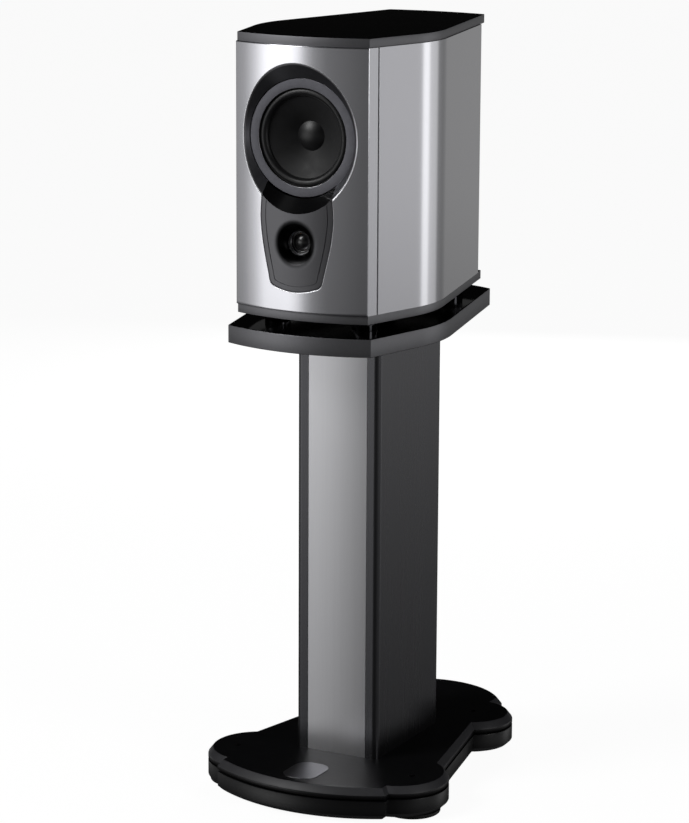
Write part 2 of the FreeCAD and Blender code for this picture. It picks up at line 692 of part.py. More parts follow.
def tweeter_motor():
    tweeter_lathe("tweeter_front_plate", tube(dome_radius + 0.9, 36.0, -5.0, -1.0))
    tweeter_lathe("tweeter_magnet", tube(17.0, 32.0, -15.0, -5.0))
    tweeter_lathe("tweeter_back_plate", [
        (3.0, -20.0), (33.0, -20.0), (33.0, -15.0), (dome_radius - 0.6, -15.0),
        (dome_radius - 0.6, -3.0), (3.0, -3.0)])
    tweeter_lathe("tweeter_rear_cup", [
        (0.0, -42.0), (26.0, -42.0), (26.0, -20.0), (23.5, -20.0), (23.5, -39.5), (0.0, -39.5)])
    tweeter_lathe("tweeter_clamp_ring", [
        (15.8, -1.0), (37.5, -1.0), (37.5, 3.7), (horn_throat + 0.2, 3.7), (horn_throat - 0.8, 2.6),
        (horn_throat - 0.8, 1.0), (15.8, 1.0)])


def tweeter_dome():
    rise = 4.8
    tweeter_lathe("tweeter_dome", [
        (0.0, 0.2 + rise, -bow_radius(dome_radius, rise)), (dome_radius, 0.2), (dome_radius, -0.4),
        (dome_radius - 0.7, -0.4, bow_radius(dome_radius - 0.7, rise)), (0.0, -0.4 + rise)])
    tweeter_lathe("tweeter_voice_coil", tube(dome_radius - 0.2, dome_radius + 0.3, -6.5, -0.4))
    tweeter_lathe("tweeter_surround", [
        (dome_radius + 0.15, 0.2, -1.7), (15.6, 0.2), (15.6, -0.5), (15.2, -0.5, 1.4),
        (dome_radius + 0.15, -0.2)])


def screw_circle():
    """Six screw places round the woofer's flange, from the woofer's axis."""
    reach = ring_outer - 6
    return [(reach * cosine(30 + 60 * index), reach * sine(30 + 60 * index)) for index in range(6)]


def cabinet_screws():
    """Six screws behind the woofer's trim ring and four with round heads on the terminal plate."""
    pieces = []
    for x, up in screw_circle():
        pieces.append(cylinder("woofer_screw", SCREW, 22.0, BACKWARD, x, corner_y + SEAT,
                               woofer_z + up))
    face = cabinet_back_y + TERMINAL_THICK
    for x, up in TERMINAL_SCREWS:
        shank = cylinder("shank", SCREW, 15.0, FORWARD, x, face, terminal_z + up)
        head = cylinder("head", 2 * SCREW, 1.6, BACKWARD, x, face, terminal_z + up)
        pieces.append(joined("terminal_screw", shank, head))
    group("cabinet_screws", pieces)


# ---- rear fittings and the crossover ---------------------------------------------------------

def reflex_port():
    outer = port_radius + PORT_WALL
    lathe("port_tube", tube(port_radius, outer, -PORT_LONG, 0.0), BACKWARD,
          0.0, cabinet_back_y, port_z)
    lathe("port_trim_ring", [
        (port_radius, 0.0), (outer + 10, 0.0), (outer + 10, 1.5, 6.0), (port_radius + 5, 4.0, 5.0),
        (port_radius, 0.5)], BACKWARD, 0.0, cabinet_back_y, port_z)


def post_places():
    return (("red", post_spread / 2), ("black", -post_spread / 2))


def terminals():
    """A plate with two binding posts: fixed stems, clamping washers and turning knobs."""
    body = new_body("terminal_plate")
    half, tall = 45.0, 30.0
    plan = [(half, terminal_z - tall), (half, terminal_z + tall),
            (-half, terminal_z + tall), (-half, terminal_z - tall)]
    face = cabinet_back_y + TERMINAL_THICK
    pad(body, sketch(body, "plate_face", "XZ_Plane", [plan], -face), TERMINAL_THICK)
    for x, up in TERMINAL_SCREWS:
        drill(body, "screw_hole", SCREW + 0.1, 20.0, FORWARD, x, face + 5, terminal_z + up)
    stems = []
    for label, x in post_places():
        drill(body, "stem_hole", POST_STEM, 20.0, FORWARD, x, face + 5, terminal_z)
        stem = cylinder("stem", POST_STEM, 34.0, BACKWARD, x, face - 17, terminal_z)
        nut = cylinder("nut", 5.5, 4.0, FORWARD, x, cabinet_back_y, terminal_z)
        socket = cylinder("socket", POST_SOCKET, 16.0, FORWARD, x, face + 17, terminal_z)
        stems.append(less("bored_stem", joined("stem_and_nut", stem, nut), socket))
        running = POST_STEM + RUNNING
        lathe(label + "_post_washer", tube(running, 7.5, 0.2, 2.2), BACKWARD, x, face, terminal_z)
        lathe(label + "_post_knob", [
            (running, 2.4), (7.0, 2.4), (8.0, 3.4), (8.0, 17.0), (6.8, 18.6), (POST_SOCKET + 0.3, 18.6),
            (POST_SOCKET + 0.3, 17.2), (running, 17.2)], BACKWARD, x, face, terminal_z)
    group("binding_post_stems", stems)


def crossover():
    """A board on the cabinet floor with two coils and four capacitors, and its wiring."""
    board_y, board_z, thick = corner_y + 310, cabinet_z + wall, 2.0
    plan = [(55.0, board_y - 70), (55.0, board_y + 60), (-55.0, board_y + 60), (-55.0, board_y - 70)]
    slab("crossover_board", [plan], board_z, thick)
    coils = []
    top = board_z + thick
    for x, y, radius in ((-28.0, board_y + 25, 22.0), (26.0, board_y + 25, 18.0)):
        ring = cylinder("coil", radius, 18.0, UPRIGHT, x, y, top)
        core = cylinder("core", radius / 2, 18.0, UPRIGHT, x, y, top)
        coils.append(less("wound_coil", ring, core))
    group("crossover_coils", coils)
    cans = []
    for index in range(4):
        cans.append(cylinder("capacitor", 8.0, 38.0, FORWARD, -36.0 + 24 * index, board_y - 20, top + 8))
    group("crossover_capacitors", cans)


def tube_along(points, radius, bend):
    """A round wire through the points, with an arc of one radius at every turn."""
    edges = []
    here = points[0]
    for before, corner, after in zip(points, points[1:], points[2:]):
        back, on = (before - corner).normalize(), (after - corner).normalize()
        half_turn = back.getAngle(on) / 2
        reach = bend / math.tan(half_turn)
        start, end = corner + back * reach, corner + on * reach
        centre = corner + (back + on).normalize() * (bend / math.sin(half_turn))
        middle = centre + (corner - centre).normalize() * bend
        edges.append(Part.LineSegment(here, start).toShape())
        edges.append(Part.Arc(start, middle, end).toShape())
        here = end
    edges.append(Part.LineSegment(here, points[-1]).toShape())
    circle = Part.Circle(points[0], points[1] - points[0], radius)
    return Part.Wire(edges).makePipeShell([Part.Wire([circle.toShape()])], True, False)


def internal_wires():
    """Two leads from the crossover board: one to the woofer's frame, one to the tweeter."""
    start_y = value_of(corner_y) + 236.0
    start_z = value_of(cabinet_z + wall) + 1.0
    woofer_end = Vector(-44, value_of(corner_y) + 54, value_of(woofer_z) - 40)
    tweeter_end = Vector(18, value_of(corner_y) + 42.5, value_of(tweeter_z) + 12)
    routes = [
        [Vector(-44, start_y, start_z + 3), Vector(-44, start_y - 60, start_z + 20),
         Vector(-44, woofer_end.y + 30, start_z + 80), woofer_end],
        [Vector(18, start_y, start_z + 3), Vector(18, start_y - 60, start_z + 20),
         Vector(18, tweeter_end.y + 50, tweeter_end.z), tweeter_end],
    ]
    wires = [tube_along(route, 1.5, 12.0) for route in routes]
    feature = doc.addObject("Part::Feature", "wires")
    feature.Shape = Part.makeCompound(wires)
    node(feature, "internal_wires")


# ---- stand -----------------------------------------------------------------------------------

def base_plan(inset=0.0):
    """Four round lobes joined by a bowed front, straight waists and a bowed rear."""
    front_centre_y = base_front_y + front_arc
    front_x = front_arc_half - inset
    front_r = front_arc - inset
    front_corner_y = front_centre_y - root(front_r * front_r - front_x * front_x)
    lobe_r, lobe_y = front_lobe - inset, base_front_y + front_lobe_y
    step_y = lobe_y - root(lobe_r * lobe_r - (front_x - front_lobe_x) * (front_x - front_lobe_x))
    waist = waist_x - inset
    waist_y = lobe_y + root(lobe_r * lobe_r - (waist - front_lobe_x) * (waist - front_lobe_x))
    tail_r, tail_y = rear_lobe - inset, base_front_y + rear_lobe_y
    tail_waist_x = rear_lobe_x + 32 - inset
    tail_waist_y = tail_y - root(tail_r * tail_r - (tail_waist_x - rear_lobe_x)
                                 * (tail_waist_x - rear_lobe_x))
    rear_x, rear_r = rear_arc_half - inset, rear_arc - inset
    rear_centre_y = base_depth / 2 - rear_arc
    rear_corner_y = rear_centre_y + root(rear_r * rear_r - rear_x * rear_x)
    tail_step_y = tail_y + root(tail_r * tail_r - (rear_x - rear_lobe_x) * (rear_x - rear_lobe_x))
    right = [(front_x, front_corner_y), (front_x, step_y, lobe_r), (waist, waist_y),
             (tail_waist_x, tail_waist_y, tail_r), (rear_x, tail_step_y), (rear_x, rear_corner_y, rear_r)]
    left = [(-front_x, front_corner_y, front_r), (-front_x, step_y), (-waist, waist_y, lobe_r),
            (-tail_waist_x, tail_waist_y), (-rear_x, tail_step_y, tail_r), (-rear_x, rear_corner_y)]
    return right + list(reversed(left))


def base_feet():
    """Centres of the four levelling feet."""
    rear_y = base_front_y + rear_lobe_y
    front_y = base_front_y + foot_front_y
    return (("front_right", foot_front_x, front_y), ("front_left", -foot_front_x, front_y),
            ("rear_right", rear_lobe_x, rear_y), ("rear_left", -rear_lobe_x, rear_y))


def rod_places():
    x = column_half - 20
    return [(x, column_y + 25), (-x, column_y + 25),
            (x, column_back_y - 20), (-x, column_back_y - 20)]


def drill_all(body, name, places, radius, length, up):
    for place_of in places:
        drill(body, name, radius, length, UPRIGHT, place_of[-2], place_of[-1], up)


def bevelled(label, wide_z, wide, narrow_z, narrow):
    """The bevelled part of a base plate: a loft between two plans of the same outline."""
    body = new_body(label)
    first = sketch(body, label + "_wide", "XY_Plane", [base_plan(wide)], wide_z)
    second = sketch(body, label + "_narrow", "XY_Plane", [base_plan(narrow)], narrow_z)
    loft = body.newObject("PartDesign::AdditiveLoft", "bevel")
    loft.Profile = first
    loft.Sections = [second]
    loft.Ruled = True
    return body


def base():
    upper = bevelled("base_upper_plate", base_top_z - upper_bevel_tall, 0.0, base_top_z, upper_chamfer)
    pad(upper, sketch(upper, "upper_edge", "XY_Plane", [base_plan()], base_upper_z),
        base_upper_thick - upper_bevel_tall)
    drill_all(upper, "rod_hole", rod_places(), ROD + 0.2, base_upper_thick, base_upper_z)
    drill_all(upper, "stud_hole", base_feet(), stud_radius + RUNNING, base_upper_thick, base_upper_z)
    lower = bevelled("base_lower_plate", base_lower_z + lower_chamfer, 0.0, base_lower_z, lower_chamfer)
    pad(lower, sketch(lower, "lower_edge", "XY_Plane", [base_plan()], base_lower_z + lower_chamfer),
        base_lower_thick - lower_chamfer)
    spacer = sketch(lower, "spacer", "XY_Plane", [base_plan(SPACER_INSET)], base_gap_z)
    pad(lower, spacer, base_gap, "spacer_pad")
    drill_all(lower, "rod_hole", rod_places(), ROD + 0.2, 60.0, 0.0)
    drill_all(lower, "nut_pocket", rod_places(), NUT + 1.5, NUT_SEAT, 0.0)
    drill_all(lower, "stud_hole", base_feet(), stud_radius + RUNNING, 60.0, 0.0)


def column():
    plan = rounded_rectangle(column_half, column_y, column_back_y, column_round)
    hollow = rounded_rectangle(column_half - column_wall, column_y + column_wall,
                               column_back_y - column_wall, 3.0)
    body = slab("stand_column", [plan, hollow], base_top_z, column_tall)
    recess = [(panel_half + CLEAR, column_y - 10), (panel_half + CLEAR, column_y + panel_thick),
              (-panel_half - CLEAR, column_y + panel_thick), (-panel_half - CLEAR, column_y - 10)]
    pocket(body, sketch(body, "panel_recess", "XY_Plane", [recess], stand_plate_z), column_tall,
           "recess_pocket")
    panel = [(panel_half, column_y), (panel_half, column_y + panel_thick),
             (-panel_half, column_y + panel_thick), (-panel_half, column_y)]
    slab("column_front_panel", [panel], base_top_z, column_tall)
    rods = []
    for x, y in rod_places():
        rod = cylinder("rod", ROD, stand_plate_z + ROD_BITE - ROD_FOOT, UPRIGHT, x, y, ROD_FOOT)
        nut = cylinder("rod_nut", NUT, NUT_TALL, UPRIGHT, x, y, NUT_SEAT - NUT_TALL)
        rods.append(joined("rod_and_nut", rod, nut))
    group("column_tie_rods", rods)


def rounded_rectangle(half, front_y, back_y, radius):
    """Anticlockwise plan with four rounded corners."""
    return [(half - radius, front_y, radius), (half, front_y + radius),
            (half, back_y - radius, radius), (half - radius, back_y),
            (-half + radius, back_y, radius), (-half, back_y - radius),
            (-half, front_y + radius, radius), (-half + radius, front_y)]


def stand_top():
    front_y = corner_y - stand_plate_ahead
    side = side_line(stand_plate_half, front_y, stand_flare, corner_y + 157, stand_bend_radius,
                     taper_angle, front_y + stand_plate_depth)
    rear = bow_radius(side[-1][0], stand_rear_bow)
    plan = shell_plan(side, bow_radius(stand_plate_half, stand_front_bow), rear)
    body = slab("stand_top_plate", [plan], stand_plate_z, stand_plate_thick)
    drill_all(body, "rod_socket", rod_places(), ROD, 20 + ROD_BITE, stand_plate_z - 20)
    drill_all(body, "bolt_hole", foot_places(), BOLT_HOLE, stand_plate_thick, stand_plate_z)
    drill_all(body, "bolt_pocket", foot_places(), 8.0, 8.0, stand_plate_z)


def base_badge():
    """A plain inlaid plate on the base, in front of the column."""
    front, back = corner_y - 23, corner_y + 53
    slab("base_badge", [rounded_rectangle(29.0, front, back, 22.0)], base_top_z, 0.8)


def levelling_feet():
    """A disc that a captive stud pushes down as the stud is turned from above."""
    for label, x, y in base_feet():
        lathe(label + "_foot_disc", [
            (0.0, 0.0), (foot_radius - 1.5, 0.0), (foot_radius, 1.5), (foot_radius, foot_tall),
            (stud_radius + RUNNING, foot_tall), (stud_radius + RUNNING, 2.0), (0.0, 2.0)],
            UPRIGHT, x, y, 0.0)
        lathe(label + "_foot_stud", [
            (0.0, 2.2), (stud_radius, 2.2), (stud_radius, 50.0), (2.5, 50.0), (2.5, 44.0), (0.0, 44.0)],
            UPRIGHT, x, y, 0.0)


# ---- build, test and write -------------------------------------------------------------------

def build():
    front_baffle()
    side_panels()
    inner_boards()
    cabinet_brace()
    cover_plates()
    damping_lining()
    speaker_feet()
    speaker_bolts()
    woofer_frame()
    woofer_motor()
    woofer_cone()
    tweeter_waveguide()
    tweeter_motor()
    tweeter_dome()
    cabinet_screws()
    reflex_port()
    terminals()
    crossover()
    internal_wires()
    base()
    column()
    stand_top()
    base_badge()
    levelling_feet()
    for item in doc.Objects:
        if hasattr(item, "FuzzyTolerance"):
            item.FuzzyTolerance = 0     # exact booleans: the automatic tolerance can skip a cut
    doc.recompute()


def check():
    """Stop before anything is written if an object failed or a shape isn't sound."""
    faults = []
    for item in doc.Objects:
        if "Subtractive" in item.TypeId or "Pocket" in item.TypeId:
            if item.Shape.Volume > item.BaseFeature.Shape.Volume - 1:
                faults.append(f"{item.Name}: cuts nothing")
    for item in doc.Objects:
        if "Invalid" in item.State or "Error" in item.State:
            faults.append(f"{item.Name} ({item.Label}): {item.State}")
    for item in nodes:
        if item.Shape.isNull() or not item.Shape.isValid() or item.Shape.Volume <= 0:
            faults.append(f"{item.Label}: unsound shape")
    if faults:
        raise RuntimeError("\n".join(faults))


def write():
    os.makedirs("parts", exist_ok=True)
    for item in nodes:
        item.Shape.exportStep(f"parts/{item.Label}.step")
        print(f"{item.Label:24s} {len(item.Shape.Solids):3d} solids {item.Shape.Volume / 1000:10.2f} cm3")
    print(len(nodes), "nodes")


build()
check()
write()
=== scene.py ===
# %% [markdown]
# # A stand-mounted loudspeaker, made as surfaces
#
# The finished object is a two-driver loudspeaker bolted to a matching stand. Its working model, with
# every size and every joint, already exists and is loaded as a fixed frame. This file adds what the eye
# sees: fine meshes for each visible piece and a finish for each material. Almost every piece is either
# turned (a profile carried round an axis) or cut from board (an outline carried through a stack of
# heights), so two small functions that turn arrays of points into meshes are enough for the whole object.

# %% Load the frame and keep its box
import json
import math

import bmesh
import bpy
import numpy as np
from mathutils import Matrix, Vector


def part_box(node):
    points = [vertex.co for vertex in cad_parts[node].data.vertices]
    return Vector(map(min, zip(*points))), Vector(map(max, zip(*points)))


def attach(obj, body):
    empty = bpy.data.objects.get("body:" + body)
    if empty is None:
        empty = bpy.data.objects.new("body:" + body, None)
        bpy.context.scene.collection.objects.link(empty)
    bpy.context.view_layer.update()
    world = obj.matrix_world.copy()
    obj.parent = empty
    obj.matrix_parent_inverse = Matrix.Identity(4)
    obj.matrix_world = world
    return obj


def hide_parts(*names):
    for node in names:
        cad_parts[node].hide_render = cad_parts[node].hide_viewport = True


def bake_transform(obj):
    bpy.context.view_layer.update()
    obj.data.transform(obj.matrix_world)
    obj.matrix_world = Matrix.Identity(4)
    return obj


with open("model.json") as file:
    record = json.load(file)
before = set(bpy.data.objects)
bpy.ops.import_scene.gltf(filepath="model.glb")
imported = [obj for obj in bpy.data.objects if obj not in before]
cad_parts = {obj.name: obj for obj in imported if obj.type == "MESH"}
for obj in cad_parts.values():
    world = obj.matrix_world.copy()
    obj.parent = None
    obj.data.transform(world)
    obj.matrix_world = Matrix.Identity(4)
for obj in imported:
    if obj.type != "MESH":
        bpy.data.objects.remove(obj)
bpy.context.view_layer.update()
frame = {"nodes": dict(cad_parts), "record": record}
MM = 0.001

# %% [markdown]
# ## Where things are
#
# All places come from the frame's own boxes. They are turned into millimetres once, because cabinet
# makers and driver makers think in millimetres, and the meshes are scaled to metres when they are made.
# Two planes matter most: the floor, and the upright plane through the loudspeaker's front corners. Depths
# on the front are measured forward from that plane.

# %% Key places, in millimetres
ROOT = "speaker_and_stand"


def box_mm(node):
    """Lowest and highest corner of a node, in millimetres."""
    low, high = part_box(node)
    return np.array(low) / MM, np.array(high) / MM


def centre_mm(node):
    """The middle of a node's box, in millimetres."""
    low, high = box_mm(node)
    return (low + high) / 2


RING_FRONT = 1.2                                     # the woofer's trim ring stands this far forward
corner_y = box_mm("woofer_trim_ring")[0][1] + RING_FRONT
woofer_z = centre_mm("woofer_trim_ring")[2]
tweeter_z = centre_mm("tweeter_clamp_ring")[2]
port_z = centre_mm("port_trim_ring")[2]
cabinet_back = box_mm("rear_panel")[1][1]
base_front = box_mm("base_lower_plate")[0][1]
print("front corner plane", corner_y, "woofer", woofer_z, "tweeter", tweeter_z)

# %% [markdown]
# ## From arrays to meshes
#
# A surface here is a stack of rings with the same number of points. Neighbouring rings are joined with
# four-sided faces. A ring that shrinks to a point closes a pole, because points that coincide are merged
# afterwards; a stack whose last ring is joined back to its first closes a tube; and a flat lid is one
# face inside a last ring. Finally the faces are turned to point outwards and the sharp edges are found by
# angle.

# %% Rings to a mesh object
def skin(rings, loop=False, lids=False, start=0):
    """Corner positions and faces of a stack of closed rings, shaped (rings, points, 3). Face (i, j) joins
    point j and j + 1 of ring i to those of ring i + 1. With loop, the last ring is joined to the first."""
    rings = np.asarray(rings, float)
    count, around = rings.shape[:2]
    index = np.arange(count * around).reshape(count, around) + start
    above = np.roll(index, -1, axis=0) if loop else index[1:]
    below = index if loop else index[:-1]
    quads = np.stack([below, np.roll(below, -1, 1), np.roll(above, -1, 1), above], -1).reshape(-1, 4)
    faces = quads.tolist()
    if lids:
        faces += [index[0].tolist(), index[-1].tolist()]
    return rings.reshape(-1, 3), faces


def make_piece(name, skins, material, body=ROOT, slot=None, stands_for=(), sharp=32.0):
    """One object from one or more (points, faces) skins in millimetres, with its faces turned outwards."""
    points, faces, start = [], [], 0
    for part_points, part_faces in skins:
        points.append(part_points)
        faces += [[corner + start for corner in face] for face in part_faces]
        start += len(part_points)
    mesh = bpy.data.meshes.new(name)
    mesh.from_pydata((np.vstack(points) * MM).tolist(), [], faces)
    work = bmesh.new()
    work.from_mesh(mesh)
    bmesh.ops.remove_doubles(work, verts=work.verts, dist=2e-6)
    bmesh.ops.dissolve_degenerate(work, edges=work.edges, dist=1e-6)
    bmesh.ops.recalc_face_normals(work, faces=work.faces)
    work.to_mesh(mesh)
    work.free()
    mesh.shade_smooth()
    mesh.set_sharp_from_angle(angle=math.radians(sharp))
    piece = bpy.data.objects.new(name, mesh)
    bpy.context.scene.collection.objects.link(piece)
    for one in material if isinstance(material, (list, tuple)) else [material]:
        mesh.materials.append(one)
    if body:
        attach(piece, body)
    if stands_for:
        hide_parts(*stands_for)
    print(f"{name}: {len(mesh.polygons)} faces")
    return piece


def paint_faces(piece, chosen, number):
    """Give material number to the faces whose centre and normal, in millimetres, satisfy chosen(c, n)."""
    mesh = piece.data
    centres = np.zeros(len(mesh.polygons) * 3)
    normals = np.zeros(len(mesh.polygons) * 3)
    mesh.polygons.foreach_get("center", centres)
    mesh.polygons.foreach_get("normal", normals)
    numbers = np.zeros(len(mesh.polygons), np.int32)
    mesh.polygons.foreach_get("material_index", numbers)
    numbers[chosen(centres.reshape(-1, 3) / MM, normals.reshape(-1, 3))] = number
    mesh.polygons.foreach_set("material_index", numbers)


print("two rings of four points make", len(skin(np.zeros((2, 4, 3)))[1]), "faces")

# %% [markdown]
# ## Profiles and turned pieces
#
# A lathe profile is a list of corners (radius, height along the axis). Real turned and moulded pieces
# have no perfectly sharp corners, so each corner may carry a small radius, which is replaced by an arc.
# The turned surface is x = r cos a, y = r sin a for the angle a all the way round.

# %% Rounded profiles and the lathe
def rounded(corners, radius, steps=5, closed=True):
    """The polygon with each corner replaced by a short curve: points on the parabola that leaves one edge
    and meets the other at the same distance, radius, from the corner. Radius is one number or one each."""
    corners = np.asarray(corners, float)
    reach = np.broadcast_to(np.asarray(radius, float), len(corners))[:, None]
    before, after = np.roll(corners, 1, 0) - corners, np.roll(corners, -1, 0) - corners
    back, on = (np.linalg.norm(way, axis=1, keepdims=True) for way in (before, after))
    cut_back = corners + before / back * np.minimum(reach, back * 0.49)
    cut_on = corners + after / on * np.minimum(reach, on * 0.49)
    if not closed:
        cut_back[[0, -1]] = cut_on[[0, -1]] = corners[[0, -1]]
    t = np.linspace(0, 1, steps)[:, None, None]
    curve = (1 - t) ** 2 * cut_back + 2 * t * (1 - t) * corners + t ** 2 * cut_on
    return curve.transpose(1, 0, 2).reshape(-1, 2)


def turn(profile, axis, origin, around=128, ripple=None):
    """Rings of a turned surface: profile rows (radius, height) carried round an axis through origin.
    Axis 'front' points along -Y, 'rear' along +Y and 'up' along +Z. Ripple multiplies the radius by a
    function of the angle and the profile's radius and height."""
    profile = np.asarray(profile, float)
    angle = np.linspace(0, 2 * math.pi, around, endpoint=False)
    radius = np.repeat(profile[:, :1], around, 1)
    height = np.repeat(profile[:, 1:], around, 1)
    if ripple is not None:
        radius = radius * ripple(angle[None, :], radius, height)
    across, up = radius * np.cos(angle), radius * np.sin(angle)
    x, y, z = origin
    if axis == "up":
        return np.stack([x + across, y + up, z + height], -1)
    sign = -1 if axis == "front" else 1
    return np.stack([x + across, y + sign * height, z + up], -1)


print("a rounded square has", len(rounded([(0, 0), (9, 0), (9, 9), (0, 9)], 1)), "points")

# %% [markdown]
# ## Outlines of board pieces
#
# The cover plates, the side panels and the stand's top plate share one kind of outline: a bowed front,
# sides that open out, turn through a large arc and close in, and a bowed rear. Each line can be moved
# inwards by an inset, and the corners are found again where the moved lines meet, so a rounded edge keeps
# true corners.

# %% Outline tools
def meet(slope, x_at_zero, centre_y, radius, rear):
    """Where the line x = x_at_zero + slope y meets the circle of that radius about (0, centre_y)."""
    a = 1 + slope * slope
    b = 2 * (slope * x_at_zero - centre_y)
    c = x_at_zero ** 2 + centre_y ** 2 - radius ** 2
    y = (-b + (1 if rear else -1) * math.sqrt(b * b - 4 * a * c)) / (2 * a)
    return np.array([x_at_zero + slope * y, y])


def arc(centre, radius, start, end, steps):
    """Points centre + radius (cos a, sin a) for angles from start to end, in degrees, ends included."""
    angle = np.radians(np.linspace(start, end, steps))
    return np.stack([centre[0] + radius * np.cos(angle), centre[1] + radius * np.sin(angle)], -1)


def run(start, end, steps):
    """Evenly spaced points on a straight line, ends included."""
    t = np.linspace(0, 1, steps)[:, None]
    return np.asarray(start) * (1 - t) + np.asarray(end) * t


def bearing(point, centre):
    """The direction from centre to point, in degrees from the x axis."""
    return math.degrees(math.atan2(point[1] - centre[1], point[0] - centre[0]))


def mirror_closed(right):
    """A closed symmetrical outline from its right half, which runs from the front middle to the rear."""
    return np.vstack([right, right[-2:0:-1] * [-1, 1]])


class BoardShape:
    """Outline of a board: half width and y at the front corners, bow of the front edge, the sides' two
    slopes in degrees and the arc between them, y at the rear corners and the bow of the rear edge."""

    def __init__(self, half, front, front_bow, flare, bend, radius, taper, rear, rear_bow):
        self.flare, self.taper, self.radius = math.radians(flare), math.radians(taper), radius
        self.bend = bend
        self.centre_x = half + (bend - front) * math.tan(self.flare) - radius / math.cos(self.flare)
        self.front_radius = (half ** 2 + front_bow ** 2) / (2 * front_bow)
        self.front_centre = front - front_bow + self.front_radius
        rear_half = self.side_x(rear, 0.0)
        self.rear_radius = (rear_half ** 2 + rear_bow ** 2) / (2 * rear_bow)
        self.rear_centre = rear + rear_bow - self.rear_radius

    def tangents(self, inset):
        """Where the arc leaves the front slope and meets the rear one."""
        inner = self.radius - inset
        front = self.centre_x + inner * math.cos(self.flare), self.bend - inner * math.sin(self.flare)
        rear = self.centre_x + inner * math.cos(self.taper), self.bend + inner * math.sin(self.taper)
        return np.array(front), np.array(rear)

    def side_x(self, y, inset):
        """Half width at y, on the front slope or the rear slope."""
        front, rear = self.tangents(inset)
        if y < self.bend:
            return front[0] - (front[1] - y) * math.tan(self.flare)
        return rear[0] - (y - rear[1]) * math.tan(self.taper)

    def side(self, inset, front, rear, steps=40):
        """The right-hand side from y = front to y = rear: line, arc, line."""
        a, b = self.tangents(inset)
        centre = (self.centre_x, self.bend)
        bend = arc(centre, self.radius - inset, -math.degrees(self.flare), math.degrees(self.taper), steps)
        return np.vstack([run((self.side_x(front, inset), front), a, 12)[:-1], bend,
                          run(b, (self.side_x(rear, inset), rear), 12)[1:]])

    def outline(self, inset=0.0):
        """The whole closed outline, moved inwards by inset."""
        a, b = self.tangents(inset)
        slope = math.tan(self.flare)
        corner = meet(slope, a[0] - slope * a[1], self.front_centre, self.front_radius - inset, False)
        closing = -math.tan(self.taper)
        tail = meet(closing, b[0] - closing * b[1], self.rear_centre, self.rear_radius - inset, True)
        front_middle, rear_middle = (0.0, self.front_centre), (0.0, self.rear_centre)
        front = arc(front_middle, self.front_radius - inset, -90, bearing(corner, front_middle), 32)
        rear = arc(rear_middle, self.rear_radius - inset, bearing(tail, rear_middle), 90, 24)
        return mirror_closed(np.vstack([front[:-1], self.side(inset, corner[1], tail[1]), rear[1:]]))


def stack(outline, profile):
    """Rings of a board piece: for each (inset, height) of the profile, the outline at that inset."""
    return np.array([np.column_stack([outline(inset), np.full(len(outline(inset)), height)])
                     for inset, height in profile])


def edge_profile(low, high, radius, steps=5, support=2.0):
    """Profile of a plate with its upper and lower edges rounded: (inset, height) from the underside's flat,
    round the edge, to the top's flat. The first and last points lie on the flats."""
    angle = np.radians(np.linspace(0, 90, steps))
    inset = radius * (1 - np.sin(angle))
    drop = radius * (1 - np.cos(angle))
    lower = np.column_stack([inset, low + drop])
    upper = np.column_stack([inset[::-1], high - drop[::-1]])
    flats = [[radius + support, low]], [[radius + support, high]]
    return np.vstack([flats[0], lower, upper, flats[1]])


COVER = BoardShape(112.5, corner_y, 20.6, 15.3, corner_y + 153, 200.0, 12.7, corner_y + 450, 10.0)
CABINET = BoardShape(113.5, corner_y - 3, 21.0, 15.3, corner_y + 153, 200.0, 12.7, cabinet_back, 10.0)
STAND_TOP = BoardShape(123.5, corner_y - 11, 27.0, 13.5, corner_y + 157, 235.0, 12.7, corner_y + 472, 21.0)
print("cabinet's widest half width:", round(CABINET.centre_x + CABINET.radius, 1), "mm")

# %% [markdown]
# ## Finishes
#
# Each finish starts from what the real surface is. A lacquered panel is a rough metallic or dark base
# under a smooth clear coat; anodised and brushed metal has fine lines along the way it was drawn or
# brushed; moulded rubber, coated paper and silk have their own grain. Patterns are laid in the object's
# own space, whose unit is the metre, so a grain of g millimetres has a scale of 1000 / g.

# %% Material helpers
def linear(hex_colour):
    """An sRGB hex colour as linear red, green, blue and alpha."""
    value = np.array([int(hex_colour[i:i + 2], 16) / 255 for i in (1, 3, 5)])
    shown = np.where(value <= 0.04045, value / 12.92, ((value + 0.055) / 1.055) ** 2.4)
    return (*shown.tolist(), 1.0)


def add(tree, kind, settings=None, **wires):
    """Adds a node, sets its settings, and gives each input a number, a hex colour or a link. An input is
    named with underscores for spaces, or i_ and its place where several share a name."""
    made = tree.nodes.new("ShaderNode" + kind)
    for name, value in (settings or {}).items():
        setattr(made, name, value)
    for name, value in wires.items():
        socket = made.inputs[int(name[2:])] if name.startswith("i_") else made.inputs[name.replace("_", " ")]
        if isinstance(value, bpy.types.NodeSocket):
            tree.links.new(value, socket)
        else:
            socket.default_value = linear(value) if isinstance(value, str) else value
    return made


RGBA = {"data_type": "RGBA"}                         # makes a Mix node mix colours, its inputs 6 and 7


def new_finish(name):
    """An empty material: its tree, and the object coordinates that every pattern starts from."""
    material = bpy.data.materials.new(name)
    material.use_nodes = True
    material.node_tree.nodes.clear()
    return material, material.node_tree, add(material.node_tree, "TexCoord").outputs["Object"]


